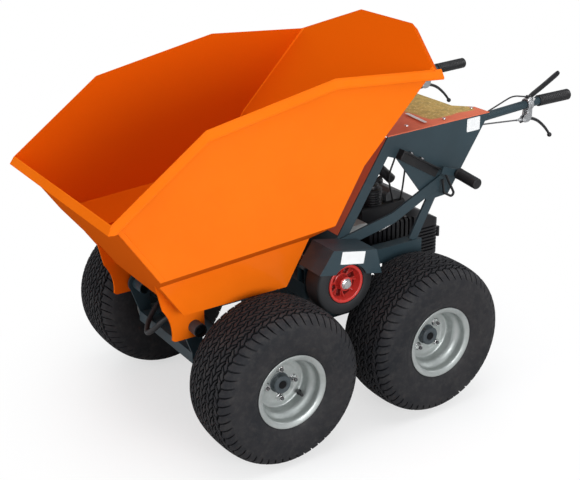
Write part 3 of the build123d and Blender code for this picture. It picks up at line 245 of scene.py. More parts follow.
def startGroup(name, values, results):
    # a node group with named numbers in, and values or a normal out; its inputs and its output node
    group = bpy.data.node_groups.new(name, "ShaderNodeTree")
    for label, value in values.items():
        made = group.interface.new_socket(name=label, in_out="INPUT", socket_type="NodeSocketFloat")
        made.default_value = value
    for label in results:
        kind = "NodeSocketVector" if label == "normal" else "NodeSocketFloat"
        group.interface.new_socket(name=label, in_out="OUTPUT", socket_type=kind)
    return group, group.nodes.new("NodeGroupInput").outputs, group.nodes.new("NodeGroupOutput")


def makeGrainGroup():
    # fine bumps, and broad cloudy variation spread to 0 and 1, from noise
    group, ins, outs = startGroup("surfaceGrain", {"fineScale": 400, "broadScale": 6}, ("height", "broad"))
    broad = noise(group, ins["broadScale"], 5, 0.62)
    setInputs(group, outs, {"height": noise(group, ins["fineScale"], 3), "broad": ramp(group, broad, 0.32, 0.68)})
    return group


def makeEdgeGroup():
    # rounded-edge normal, and a worn-edge mask where it leaves the true normal, broken by noise
    group, ins, outs = startGroup("edgeWear", {"radius": 0.0015, "amount": 0.4}, ("mask", "normal"))
    bevel = node(group, "Bevel", {"Radius": ins["radius"]}, samples=4).outputs[0]
    true = node(group, "NewGeometry").outputs["Normal"]
    along = node(group, "VectorMath", {0: bevel, 1: true}, operation="DOT_PRODUCT").outputs["Value"]
    chips = ramp(group, noise(group, 90, 6, 0.7), 0.52, 0.66)
    edge = calc(group, "MULTIPLY", ramp(group, along, 0.995, 0.93), chips)
    setInputs(group, outs, {"mask": calc(group, "MULTIPLY", edge, ins["amount"], clamp=True), "normal": bevel})
    return group


def makeDustGroup():
    # dust on faces that look up, broken into patches by noise
    group, ins, outs = startGroup("dustFall", {"amount": 0.2}, ("mask",))
    facing = node(group, "SeparateXYZ", {0: node(group, "NewGeometry").outputs["Normal"]}).outputs["Z"]
    patch = ramp(group, noise(group, 18, 8, 0.72), 0.44, 0.72)
    fall = calc(group, "MULTIPLY", ramp(group, facing, 0.1, 1, 0.15), patch)
    setInputs(group, outs, {"mask": calc(group, "MULTIPLY", fall, ins["amount"], clamp=True)})
    return group


def makeTubGroup():
    # an open tub's masks: outer where the normal's y leaves the middle plane, and for painted shade the inside
    # where it turns back or looks up within the rim and the underside where it looks down
    group, ins, outs = startGroup("tubFaces", {"halfWidth": 0.34}, ("outer", "inner", "under"))
    coords = node(group, "TexCoord").outputs
    facing = node(group, "SeparateXYZ", {0: coords["Normal"]}).outputs
    place = node(group, "SeparateXYZ", {0: coords["Object"]}).outputs
    leaving = calc(group, "MULTIPLY", facing["Y"], calc(group, "SIGN", place["Y"]))
    beyondSide = calc(group, "SUBTRACT", calc(group, "ABSOLUTE", place["Y"]), ins["halfWidth"])
    floor = calc(group, "MULTIPLY", ramp(group, facing["Z"], 0.1, 0.25),
                 ramp(group, beyondSide, 0, 0.002, 1, 0))
    floor = calc(group, "MULTIPLY", floor, ramp(group, place["X"], 0.838, 0.842, 1, 0))  # behind the nose
    setInputs(group, outs, {"outer": ramp(group, leaving, 0.4, 0.8),
                            "inner": calc(group, "MAXIMUM", floor, ramp(group, leaving, -0.3, -0.6)),
                            "under": ramp(group, facing["Z"], -0.15, -0.35)})
    return group


grainGroup, edgeGroup = makeGrainGroup(), makeEdgeGroup()
dustGroup, tubGroup = makeDustGroup(), makeTubGroup()


def placed(tree, group, **values):
    # a node group in a material with its own values, as its outputs
    return node(tree, "Group", values, node_tree=group).outputs


def startFinish(name):
    # a material, its node tree and its Principled surface
    finish = bpy.data.materials.new(name)
    finish.use_nodes = True
    return finish, finish.node_tree, finish.node_tree.nodes["Principled BSDF"]


def bumped(tree, strength, depth, height, **normal):
    # a Bump node's normal: the surface's own, or the one given, bent by the height
    return node(tree, "Bump", {"Strength": strength, "Distance": depth, "Height": height, **normal}).outputs[0]


# what a finish has where its own values don't say otherwise; its shade is then 0.82 of its colour
plainLook = dict(rough=0.4, spread=0.12, bump=0.15, depth=0.0004, fine=500, broad=6,
                 edgeRadius=0.0012, wear=0.3, dust=0.15, metal=0, coat=0, coatRough=0.15, specular=0.5,
                 dusty=(0.3, 0.27, 0.22), worn=(0.3, 0.3, 0.31))


def makeFinish(name, look):
    # base colour, cloudy second colour, dust, worn edges, painted shade in hollows and painted shade inside and
    # under a tub over one Principled surface: each mask mixes the colour so far with its own, and roughness =
    # rough + spread (cloud - 1/2) + dust / 2
    look = {"shade": [c * 0.82 for c in look["colour"]], **plainLook, **look}
    finish, tree, surface = startFinish(name)
    grain = placed(tree, grainGroup, fineScale=look["fine"], broadScale=look["broad"])
    edge = placed(tree, edgeGroup, radius=look["edgeRadius"], amount=look["wear"])
    dust = placed(tree, dustGroup, amount=look["dust"])["mask"]
    colour = mix(tree, grain["broad"], look["colour"], look["shade"])
    colour = mix(tree, dust, colour, look["dusty"])
    colour = mix(tree, edge["mask"], colour, look["worn"])
    coat = look["coat"]
    # painted shade in hollows: a dark colour mixed in where the recess mask is low
    if "hollow" in look:
        mask = node(tree, "Attribute", attribute_name="recessShadeAndDustMask").outputs["Fac"]
        colour = mix(tree, mask, look["hollow"], colour)
    # painted shade: darker inside the tub and on faces looking down; the coat goes on the outer faces only
    if "inner" in look:
        tub = placed(tree, tubGroup, halfWidth=look["halfWidth"])
        colour = mix(tree, tub["inner"], colour, look["inner"])
        colour = mix(tree, tub["under"], colour, look["under"])
        coat = calc(tree, "MULTIPLY", tub["outer"], coat)
    half = look["spread"] / 2
    sheen = ramp(tree, grain["broad"], 0, 1, look["rough"] - half, look["rough"] + half)
    bump = bumped(tree, look["bump"], look["depth"], grain["height"], Normal=edge["normal"])
    setInputs(tree, surface, {
        "Base Color": colour, "Normal": bump, "Coat Weight": coat, "Coat Roughness": look["coatRough"],
        "Roughness": calc(tree, "MULTIPLY_ADD", dust, 0.5, sheen, clamp=True),
        "Metallic": look["metal"], "Specular IOR Level": look["specular"]})
    return finish


looks = {
    # the skip's inside and its down-facing faces take the darker colours below as painted shade
    "skipPaint": dict(colour=(0.9, 0.17, 0.006), shade=(0.84, 0.152, 0.005), worn=(0.75, 0.25, 0.08),
        inner=(0.7, 0.098, 0.002), under=(0.66, 0.105, 0.006), halfWidth=0.338, rough=0.36, coat=0.16,
        coatRough=0.12, specular=0, bump=0.05, wear=0.1, dust=0.02, broad=3, fine=260),
    "slatePaint": dict(colour=(0.024, 0.046, 0.058), shade=(0.018, 0.036, 0.046), worn=(0.16, 0.19, 0.2),
        dusty=(0.17, 0.18, 0.17), rough=0.42, coat=0.04, specular=0.4, bump=0.1, wear=0.35, dust=0.1),
    "coverPaint": dict(colour=(0.7, 0.18, 0.095), shade=(0.62, 0.15, 0.08), rough=0.55, specular=0.05, bump=0.1,
        wear=0.4, dust=0.12),
    "zincSheet": dict(colour=(0.5, 0.53, 0.52), shade=(0.36, 0.39, 0.38), worn=(0.8, 0.8, 0.8), metal=0.72,
        rough=0.42, spread=0.22, bump=0.22, wear=0.15, dust=0.1, fine=140, broad=14),
    "brightSteel": dict(colour=(0.72, 0.72, 0.72), shade=(0.6, 0.6, 0.6), metal=1, rough=0.22, bump=0.06,
        wear=0.1, dust=0.04),
    "darkSteel": dict(colour=(0.17, 0.17, 0.175), shade=(0.1, 0.1, 0.105), metal=1, rough=0.42, bump=0.12),
    "castIron": dict(colour=(0.05, 0.065, 0.075), shade=(0.035, 0.045, 0.052), worn=(0.2, 0.21, 0.22),
        rough=0.46, bump=0.35, depth=0.0007, fine=320, wear=0.35),
    "castAlloy": dict(colour=(0.55, 0.56, 0.57), shade=(0.42, 0.43, 0.44), metal=0.9, rough=0.38, bump=0.25,
        fine=420, wear=0.2),
    "rollerRubber": dict(colour=(0.014, 0.015, 0.017), shade=(0.019, 0.02, 0.022), dusty=(0.12, 0.11, 0.1),
        rough=0.6, bump=0.25, dust=0.25, specular=0.35, wear=0),
    # the rim's pockets take the dark red below as painted shade
    "redMoulding": dict(colour=(0.6, 0.034, 0.026), shade=(0.5, 0.026, 0.02), hollow=(0.1, 0.008, 0.007),
        worn=(0.85, 0.2, 0.15), rough=0.34, coat=0.15, bump=0.06, wear=0.1),
    "padRubber": dict(colour=(0.03, 0.03, 0.032), rough=0.7, bump=0.3, wear=0),
    "gripRubber": dict(colour=(0.012, 0.012, 0.013), shade=(0.008, 0.008, 0.009), dusty=(0.12, 0.12, 0.12),
        rough=0.5, specular=0.35, bump=0.35, fine=700, dust=0.12, wear=0),
    "blackCoat": dict(colour=(0.01, 0.01, 0.012), shade=(0.007, 0.007, 0.008), worn=(0.22, 0.22, 0.22),
        rough=0.34, specular=0.4, bump=0.14, wear=0.3),
    "engineBlack": dict(colour=(0.007, 0.007, 0.009), shade=(0.004, 0.004, 0.005), dusty=(0.07, 0.07, 0.07),
        specular=0.35, bump=0.22, fine=380, dust=0.12, wear=0.15),
    "engineGrey": dict(colour=(0.085, 0.088, 0.092), shade=(0.06, 0.062, 0.066), dusty=(0.2, 0.2, 0.19),
        rough=0.5, bump=0.25, fine=300, dust=0.2, wear=0.1),
    "cableSheath": dict(colour=(0.016, 0.016, 0.018), rough=0.45, bump=0.1, wear=0),
    "heatShield": dict(colour=(0.66, 0.68, 0.66), shade=(0.46, 0.48, 0.47), metal=0.55, rough=0.42, bump=0.18,
        fine=300, wear=0.2, dust=0.2),
    "labelFilm": dict(colour=(0.86, 0.87, 0.87), shade=(0.78, 0.8, 0.8), rough=0.34, bump=0.03, wear=0,
        dust=0.05, broad=30),
    "stripFoil": dict(colour=(0.78, 0.76, 0.74), shade=(0.62, 0.6, 0.58), rough=0.35, metal=0.3, bump=0.05,
        wear=0.1),
    # near black with little gloss: on the axle shafts this is painted shade in the hub bores
    "boreShadeBlack": dict(colour=(0.004, 0.004, 0.005), shade=(0.003, 0.003, 0.004), specular=0.15, rough=0.6,
        bump=0.1, wear=0.1, dust=0.05),
}
finishes = {name: makeFinish(name, look) for name, look in looks.items()}

# the grooves' colour is painted shade; block is the rubber, wall a cloudy second tone and dust real dust
rubberLook = {"grooveShade": (0.003, 0.003, 0.004), "block": (0.021, 0.02, 0.022), "wall": (0.01, 0.011, 0.014),
              "dust": (0.07, 0.065, 0.06)}


def makeTyreFinish():
    # tread colour by the recess mask: painted shade in the grooves, and dust in patches on the blocks
    look = rubberLook
    finish, tree, surface = startFinish("tyreRubber")
    grain = placed(tree, grainGroup, fineScale=260, broadScale=9)
    mask = node(tree, "Attribute", attribute_name="recessShadeAndDustMask").outputs["Fac"]
    colour = mix(tree, mask, look["grooveShade"], look["block"])
    colour = mix(tree, grain["broad"], colour, look["wall"])
    patches = ramp(tree, noise(tree, 42, 8, 0.75), 0.47, 0.8, 0, 0.45)
    setInputs(tree, surface, {
        "Base Color": mix(tree, calc(tree, "MULTIPLY", patches, mask), colour, look["dust"]),
        "Normal": bumped(tree, 0.3, 0.0006, grain["height"]),
        "Roughness": ramp(tree, grain["broad"], 0, 1, 0.52, 0.72), "Specular IOR Level": 0.25})
    return finish


coverLook = {"paint": (0.7, 0.175, 0.095), "paintShade": 0.86, "field": (0.52, 0.36, 0.12),
             "moss": (0.33, 0.25, 0.09), "straw": (0.72, 0.56, 0.27), "wear": (0.35, 0.3, 0.28),
             "centre": (-0.405, 0, 0), "halfField": ((0.215, 0.228), (0.088, 0.098)), "waver": 0.05}


def makeCoverFinish():
    # the cover's paint with a weathered mottled field in the middle, inside a plain border: the field
    # ends where |x - centre| and |y - centre|, plus a wave from noise, pass its half sizes
    look = coverLook
    finish, tree, surface = startFinish("coverField")
    place = node(tree, "TexCoord").outputs["Object"]
    offset = node(tree, "VectorMath", {0: place, 1: look["centre"]}, operation="SUBTRACT").outputs[0]
    size = node(tree, "VectorMath", {0: offset}, operation="ABSOLUTE").outputs[0]
    reach = node(tree, "SeparateXYZ", {0: size}).outputs
    wave = calc(tree, "MULTIPLY_ADD", noise(tree, 11, 4), look["waver"], -look["waver"] / 2)
    inside = [ramp(tree, calc(tree, "ADD", reach[axis], wave), *ends, 1, 0)
              for axis, ends in zip("YX", look["halfField"])]
    field = calc(tree, "MULTIPLY", *inside)
    mottle = noise(tree, 46, 9, 0.74)
    ground = mix(tree, ramp(tree, mottle, 0.4, 0.6), look["moss"], look["field"])
    flecks = ramp(tree, noise(tree, 150, 4), 0.58, 0.68, 0, 0.8)
    grain = placed(tree, grainGroup, fineScale=420, broadScale=12)
    edge = placed(tree, edgeGroup, radius=0.0012, amount=0.35)
    paint = mix(tree, grain["broad"], look["paint"], [c * look["paintShade"] for c in look["paint"]])
    colour = mix(tree, field, paint, mix(tree, flecks, ground, look["straw"]))
    setInputs(tree, surface, {
        "Base Color": mix(tree, edge["mask"], colour, look["wear"]),
        "Normal": bumped(tree, 0.2, 0.0005, mottle, Normal=edge["normal"]),
        "Roughness": ramp(tree, field, 0, 1, 0.5, 0.7), "Specular IOR Level": 0.05})
    return finish


finishes["tyreRubber"] = makeTyreFinish()
finishes["coverField"] = makeCoverFinish()
print("finishes made:", len(finishes))

cadFinish = {
    "skipPaint": "skip_shell skip_ears",
    "slatePaint": "low_rails axle_tubes front_beam pivot_uprights pivot_tubes frame_posts deck_beams "
                  "deck_rails engine_plate roller_guards console_plates struts rear_posts handle_tubes "
                  "tip_lever",
    "coverField": "console_cover",
    "coverPaint": "console_shield",
    "brightSteel": "roller_shaft",
    "darkSteel": "lever_rods",
    "boreShadeBlack": "axle_shafts",
    "castIron": "gearbox shaft_bearings",
    "castAlloy": "lever_clamps",
    "heatShield": "muffler",
    "padRubber": "rest_pads",
    "gripRubber": "grips tip_grip",
    "blackCoat": "grip_levers top_lever latch_bracket latch_rod recoil_grip shift_lever",
    "engineBlack": "engine_block fan_housing air_filter",
    "engineGrey": "fuel_tank",
    "cableSheath": "cables bow_cable",
    "redMoulding": "roller_rims",
    "rollerRubber": "roller_tyres",
}
for finishName, names in cadFinish.items():
    for name in names.split():
        cadObjects[name].data.materials.clear()
        cadObjects[name].data.materials.append(finishes[finishName])
print("frame finished")

# arc positions are measured along the tyre's outer line, from its middle plane
tyreLook = {
    "line": [(0, 0.25), (0.03, 0.2492), (0.058, 0.2463), (0.078, 0.2415), (0.093, 0.2335), (0.1035, 0.2205),
             (0.1098, 0.2), (0.1115, 0.178), (0.1108, 0.158), (0.1075, 0.138), (0.1035, 0.126), (0.0985, 0.1175)],
    "bead": [(0.0945, 0.1019), (-0.0945, 0.1019)],  # the closing edge inside the rim: (y, radius)
    "pitches": 54, "stations": [0, 0.06, 0.09, 0.21, 0.24, 0.3, 0.4],  # one pitch, twice, half a pitch apart
    "columns": 9, "columnWidth": 0.0178, "grooveWidth": 0.0046, "grooveEdge": 0.0014, "grooveDepth": 0.0078,
    "zigzag": 0.0032, "slant": 0.022, "barEnd": 0.1235, "barSweep": 0.014, "crown": 0.25, "wallLines": 22,
    "treadFade": 0.016, "zigzagFade": 0.03,
    "rings": [(0.0007, 0.205, 0.0016), (0.0006, 0.15, 0.003)],  # (height, radius, half width)
}


def tyreProfile():
    # the outer line as a Catmull-Rom curve from crown to bead, and its arc length: the sum of its steps
    half = curveThrough(tyreLook["line"], 160)
    return half, np.r_[0, np.cumsum(np.linalg.norm(np.diff(half, axis=0), axis=1))]


def tyreStations():
    # arc positions across the tread: each groove's lips at edge -+ (half width + lip) and floor lines
    # at edge -+ half width, each column's middle and four on each outer bar, with the floor lines marked
    look = tyreLook
    edges = (np.arange(look["columns"] + 1) - look["columns"] / 2) * look["columnWidth"]
    half, lip = look["grooveWidth"] / 2, look["grooveEdge"]
    grooves = (edges[:, None] + np.array([-half - lip, -half, half, half + lip])).ravel()
    middles = (edges[:-1] + edges[1:]) / 2
    bar = np.linspace(edges[-1] + half + lip, look["barEnd"], 5)[1:]
    place = np.concatenate([-bar, grooves, middles, bar])
    floor = np.zeros(len(place), bool)
    floor[4:4 + len(grooves)] = np.tile([False, True, True, False], len(edges))
    order = np.argsort(place)
    return place[order], floor[order], edges


def treadTyre(centre, side):
    # blocks stand between zigzag grooves along the tyre and slanted grooves across it:
    # point = outer line at arc q(i, j) less the groove depth along its normal, turned by angle(i, j)
    look = tyreLook
    half, arc = tyreProfile()
    place, floor, edges = tyreStations()
    barEnd, lines = look["barEnd"], look["wallLines"]
    wall = np.linspace(barEnd + 0.004, arc[-1], lines)
    q = np.concatenate([-wall[::-1], place, wall])
    isFloor = np.pad(floor, lines)
    inTread = np.abs(q) <= barEnd + 1e-6
    pitch = np.concatenate([look["stations"], np.array(look["stations"]) + 0.5])
    turns = (np.arange(look["pitches"])[:, None] + pitch).ravel()[:, None]
    station = np.tile(np.arange(len(pitch)), look["pitches"])[:, None]
    oddColumn = np.searchsorted(edges, q) % 2 == 1
    cross = np.where(oddColumn, np.isin(station, (9, 10)), np.isin(station, (2, 3)))
    tent = np.abs(np.interp(q, edges, np.arange(len(edges))) % 2 - 1) - 0.5
    bar = np.clip((np.abs(q) - edges[-1]) / (barEnd - edges[-1]), 0, 1)
    shift = inTread * tent * look["slant"] + bar**2 * look["barSweep"]
    angle = turns * 2 * pi / look["pitches"] + shift / look["crown"]
    wave = np.abs(turns % 1 - 0.5) * 4 - 1
    arcAt = q + look["zigzag"] * wave * np.clip((barEnd - np.abs(q)) / look["zigzagFade"], 0, 1)
    reach, way = np.abs(arcAt), np.sign(arcAt)
    down = (isFloor | cross) * np.clip((barEnd - reach) / look["treadFade"], 0, 1)
    y = np.interp(reach, arc, half[:, 0]) * way
    radius = np.interp(reach, arc, half[:, 1])
    normalY = -np.interp(reach, arc, np.gradient(half[:, 1], arc)) * way
    normalR = np.interp(reach, arc, np.gradient(half[:, 0], arc))
    depth = down * look["grooveDepth"]
    depth = depth - sum(height * (np.abs(radius - at) < width) for height, at, width in look["rings"])
    y, radius = y - normalY * depth, radius - normalR * depth
    rows, cols = y.shape
    bead = np.broadcast_to(look["bead"], (rows, 2, 2))
    y, radius = np.hstack([y, bead[..., 0]]), np.hstack([radius, bead[..., 1]])
    # the mask is low in the grooves, for painted shade there
    angle, mask = np.hstack([angle, angle[:, -2:]]), np.hstack([1 - down, np.ones((rows, 2))])
    points = np.stack([radius * np.cos(angle), y * side, radius * np.sin(angle) * side], -1) + centre
    return (points, gridFaces(rows, cols + 2, True, True)), mask


# corners of the rim's section: (radius, distance outwards, size of the bend)
rimLook = [
    (0.1168, 0.0985, 0.002), (0.1165, 0.1018, 0.002), (0.1125, 0.102, 0.004), (0.0992, 0.0972, 0.005),
    (0.0978, 0.09, 0.003), (0.0975, 0.0735, 0.01), (0.0815, 0.06, 0.01), (0.0805, 0.03, 0.006),
    (0.064, 0.03, 0.008), (0.056, 0.0272, 0.008), (0.03, 0.0272, 0.001), (0.03, 0.0212, 0.001),
    (0.056, 0.0212, 0.006), (0.064, 0.024, 0.006), (0.0805, 0.024, 0.004), (0.0805, -0.031, 0.01),
    (0.0981, -0.064, 0.008), (0.0981, -0.095, 0.005), (0.112, -0.1018, 0.003), (0.1166, -0.1018, 0.002),
    (0.1166, -0.0985, 0.001), (0.114, -0.0983, 0.004), (0.1014, -0.094, 0.004), (0.1014, -0.062, 0.008),
    (0.084, -0.03, 0.009), (0.0848, 0.0585, 0.009), (0.1012, 0.0718, 0.008), (0.1014, 0.094, 0.004),
    (0.114, 0.0983, 0.004)]


def wheelRim(centre, side):
    # deep dished rim: the section's corners softened, and turned about the axle
    section = np.array(rimLook)
    profile = softened(section[:, :2], section[:, 2]) * (1, side)
    return turned(profile, centre, (0, 1, 0), 120, closed=True)


# sections are (radius, distance outwards) from the wheel's middle, or from the disc's face for nuts
wheelLook = {
    "hub": [(0, 0.0462), (0.0125, 0.0462), (0.015, 0.0468), (0.015, 0.047), (0.0165, 0.049), (0.026, 0.049),
            (0.029, 0.046), (0.029, 0.03), (0.032, 0.0275), (0.032, 0.0208), (0.0655, 0.0208), (0.066, 0.02),
            (0.066, 0.0145), (0.065, 0.014), (0.034, 0.014), (0.029, 0.01), (0.029, -0.0295),
            (0.0285, -0.03), (0, -0.03)],
    "face": 0.0272, "studs": 4, "studRadius": 0.048, "studTurn": {"front": 0, "rear": pi / 4},
    "collar": [(0, 0), (0.0135, 0), (0.0135, 0.001), (0.0105, 0.0042), (0, 0.0042)],
    "nut": [(0, 0.004), (0.0104, 0.004), (0.0104, 0.0125), (0.009, 0.0142), (0.006, 0.0142),
            (0.0055, 0.0125), (0, 0.0125)],
    "stud": [(0, 0.012), (0.0052, 0.012), (0.0052, 0.0185), (0.0044, 0.0195), (0, 0.0195)],
    "valve": [(0.08, 0.0385), (0.074, 0.0405), (0.069, 0.0485), (0.067, 0.0605), (0.066, 0.0705)],
    "valveSize": [(0, 0.0085), (0.18, 0.0075), (0.3, 0.0055), (0.75, 0.0046), (0.78, 0.0052), (1, 0.005)],
    "valveTurn": {"front": 3.8, "rear": 0.8},
}


def spoke(turn):
    # a unit direction across the axle: (cos a, 0, sin a)
    return np.array([cos(turn), 0, sin(turn)])


def varied(stops, count):
    # sizes along a path, by straight lines between stops (share, size)
    return np.interp(np.linspace(0, 1, count), *np.transpose(stops))


for end in ("front", "rear"):
    for sideName, side in (("left", 1), ("right", -1)):
        look, place = wheelLook, f"{end}_{sideName}"
        body = f"wheel_{place}"
        centre, out = middleOf(f"tyre_{place}"), np.array([0, side, 0])
        part, mask = treadTyre(centre, side)
        addPiece(f"treadTyre_{place}", part, "tyreRubber", [f"tyre_{place}"], body, 32, mask)
        rim = wheelRim(centre, side)
        addPiece(f"dishedRim_{place}", rim, "zincSheet", [f"rim_{place}"], body, 50)
        hub = turned(look["hub"], centre, out, 72)
        addPiece(f"hubBarrel_{place}", hub, "castIron", [f"hub_{place}"], body)
        nuts, studs = [], []
        for angle in look["studTurn"][end] + np.arange(look["studs"]) * 2 * pi / look["studs"]:
            at = centre + out * look["face"] + look["studRadius"] * spoke(angle)
            nuts += [turned(look["collar"], at, out, 16), turned(look["nut"], at, out, 6, phase=angle)]
            studs.append(turned(look["stud"], at, out, 12))
        addPiece(f"wheelNuts_{place}", merged(nuts), "brightSteel", (), body, 30)
        addPiece(f"wheelStuds_{place}", merged(studs), "darkSteel", (), body, 30)
        radial = spoke(look["valveTurn"][end])
        route = [centre + radial * reach + out * along for reach, along in look["valve"]]
        stem = swept(curveThrough(route, 22), varied(look["valveSize"], 22), np.cross(radial, out), 20)
        addPiece(f"valveStem_{place}", stem, "gripRubber", (), body, 50)
print("road wheels dressed")

rollerTyreLook = {"radius": 0.103, "crown": 0.0022, "halfCrown": 0.03,
                  "wall": [(0.03, 0.1008), (0.0345, 0.098), (0.038, 0.0905), (0.0402, 0.08), (0.0402, 0.071),
                           (0.0385, 0.0652), (0.0345, 0.0628), (0.0305, 0.0545)]}


def rollerTyre(centre, side):
    # small smooth tyre turned about the shaft: a nearly flat crown r = R - crown |s|^2.5, rounded walls
    look = rollerTyreLook
    s = np.linspace(-1, 1, 41)
    crown = np.c_[look["radius"] - look["crown"] * np.abs(s) ** 2.5, s * look["halfCrown"]]
    wall = curveThrough(look["wall"], 40)[1:]
    profile = np.concatenate([crown, wall[:, ::-1], (wall * (-1, 1))[::-1, ::-1]])
    return turned(profile * (1, side), centre, (0, 1, 0), 110, closed=True)


# the rim's section, (radius, distance outwards), goes hub, web, lip and back
rollerLook = {
    "hub": [(0.013, 0.0405), (0.02, 0.0405), (0.0222, 0.039), (0.0225, 0.02), (0.024, 0.0155)],
    "webIn": 0.0262, "webOut": 0.0462, "webLines": 11, "web": 0.014, "spokes": 8, "pocket": 0.0105, "rib": 0.0125,
    "lip": [(0.048, 0.0165), (0.0508, 0.033), (0.053, 0.0385), (0.056, 0.04), (0.0598, 0.04),
            (0.0618, 0.0385), (0.0618, 0.034), (0.06, 0.0325), (0.0545, 0.03)],
    "back": [(0.0545, -0.03), (0.059, -0.032), (0.059, -0.035), (0.047, -0.033), (0.047, 0.002),
             (0.0225, 0.002), (0.0225, -0.0405), (0.013, -0.0405)],
    # how strongly the pockets are darkened as painted shade
    "hollow": 0.92, "outerEdge": 0.041,
    "cap": [(0, 0.0405), (0.0178, 0.0405), (0.0178, 0.0412), (0.016, 0.042), (0.015, 0.044), (0.012, 0.0459),
            (0.007, 0.0469), (0, 0.0472)],
}


def rise(value, start, width):
    # 0 up to the start, then straight up to 1 over the width
    return np.clip((value - start) / width, 0, 1)


def rollerRim(centre, side):
    # moulded rim: web height y(r, a) = web - pocket * inPocket(r, a) + rib * onRib(r, a), where the
    # wedge |share of a spoke's turn - 1/2| is under 0.36 in a pocket and over 0.415 on a rib
    look = rollerLook
    web = np.linspace(look["webIn"], look["webOut"], look["webLines"])
    profile = np.concatenate([look["hub"], np.c_[web, np.full(len(web), look["web"])], look["lip"], look["back"]])
    angle = np.linspace(0, 2 * pi, 240, endpoint=False)[:, None]
    radius = np.broadcast_to(profile[:, 0], (240, len(profile)))
    onWeb = np.zeros(len(profile))
    onWeb[len(look["hub"]):len(look["hub"]) + len(web)] = 1
    wedge = np.abs((angle * look["spokes"] / (2 * pi)) % 1 - 0.5)
    inward = radius - look["webIn"]
    pocket = (1 - rise(wedge, 0.31, 0.05)) * (1 - rise(radius, 0.0435, 0.002)) * rise(inward, 0, 0.002)
    rib = rise(wedge, 0.415, 0.03) * rise(inward, 0, 0.018)
    y = (profile[:, 1] + onWeb * (look["rib"] * rib - look["pocket"] * pocket)) * side
    points = np.stack([radius * np.cos(angle), y, radius * np.sin(angle)], -1) + centre
    # the pockets' points are marked low, for painted shade there
    mask = 1 - onWeb * (1 - rise(wedge, 0.35, 0.05)) * rise(radius, 0.0255, 0.0015) * look["hollow"]
    return (points, gridFaces(240, len(profile), True, True)), mask


leftRoller = middleOf("roller_tyres")
leftRoller[1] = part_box("roller_tyres")[1][1] - rollerLook["outerEdge"]
rollerSpots = [(leftRoller, 1), (leftRoller * (1, -1, 1), -1)]
tyrePart = merged([rollerTyre(*spot) for spot in rollerSpots])
addPiece("rollerTyreSet", tyrePart, "rollerRubber", ["roller_tyres"], "rollers", 28)
rimParts, rimMasks = zip(*[rollerRim(*spot) for spot in rollerSpots])
addPiece("rollerRimSet", merged(rimParts), "redMoulding", ["roller_rims"], "rollers", 30,
         np.concatenate([mask.ravel() for mask in rimMasks]))
caps = merged([turned(rollerLook["cap"], centre, (0, side, 0), 48) for centre, side in rollerSpots])
addPiece("rollerCaps", caps, "brightSteel", (), "rollers", 30)
print("rollers dressed")

shaft = middleOf("roller_shaft")


def fromShaft(forward, y, up):
    # a point given forward and up from the roller shaft, and sideways from the middle
    return np.array([shaft[0] + forward, y, shaft[2] + up])


def ribbedGrip(start, way, length, look):
    # turned section (radius, along): a flange, then r = R - rib (1 - sqrt|sin|), then a round end
    radius, flange, ribs = look["radius"], look["flange"], look["ribs"]
    s = np.linspace(0.009, length - 0.01, ribs * 8 + 1)
    wave = radius - look["rib"] * (1 - np.sqrt(np.abs(np.sin(np.linspace(0, ribs * pi, len(s))))))
    t = np.linspace(0, pi / 2, 8)
    dome = np.c_[radius - 0.004 + 0.004 * np.cos(t), length - 0.0045 + 0.0045 * np.sin(t)]
    lip = flange - 0.001
    front = [(0, 0), (lip, 0), (flange, 0.001), (flange, 0.005), (lip, 0.0065), (0.016, 0.0075)]
    return turned(np.concatenate([front, np.c_[wave, s], dome, [(0, length)]]), start, way, 40)


gripLook = {"start": (-0.8495, 0.262, 0.411), "end": (-0.9827, 0.267, 0.414), "radius": 0.0186, "flange": 0.0188,
            "ribs": 15, "rib": 0.001}
gripStart = fromShaft(*gripLook["start"])
gripWay = fromShaft(*gripLook["end"]) - gripStart
handGrip = ribbedGrip(gripStart, gripWay, float(np.linalg.norm(gripWay)), gripLook)
addPiece("handGrips", mirrored(handGrip), "gripRubber", ["grips"], angle=60)

tipLook = {"radius": 0.0182, "flange": 0.0186, "ribs": 11, "rib": 0.0009, "tilt": 0.1131, "length": 0.0915}
tipWay = np.array([0, cos(tipLook["tilt"]), -sin(tipLook["tilt"])])
tipStart = middleOf("tip_grip") - tipWay * tipLook["length"] / 2
tipPart = ribbedGrip(tipStart, tipWay, tipLook["length"], tipLook)
addPiece("tipHandGrip", tipPart, "gripRubber", ["tip_grip"], angle=60)

leverLook = {"route": [(-0.776, 0.352), (-0.8, 0.3565), (-0.826, 0.3545), (-0.858, 0.34), (-0.889, 0.3145),
                       (-0.91, 0.2905), (-0.916, 0.282)],
             "size": [(0, 0.0062), (0.08, 0.007), (0.3, 0.0056), (0.75, 0.0046), (1, 0.0044)],
             "side": 0.262, "flat": 0.78, "ball": 0.008}


def flatBar(path, sizes, side, flat, segments):
    # a bar swept along a path and pressed towards its own plane: y = side + flat (y - side)
    points, faces = swept(path, varied(sizes, len(path)), (0, 1, 0), segments)
    points[..., 1] = side + (points[..., 1] - side) * flat
    return points, faces


def curvedLever():
    # a flat bar along the route, thin at the pivot, and a ball (r cos t, r sin t) at its tip
    look = leverLook
    path = curveThrough([fromShaft(forward, look["side"], up) for forward, up in look["route"]], 46)
    t = np.linspace(-pi / 2, pi / 2, 15)
    ball = turned(look["ball"] * np.c_[np.cos(t), np.sin(t)], path[-1], path[-1] - path[-2], 24)
    return merged([flatBar(path, look["size"], look["side"], look["flat"], 18), ball])


addPiece("handLevers", mirrored(curvedLever()), "blackCoat", ["grip_levers"], angle=60)

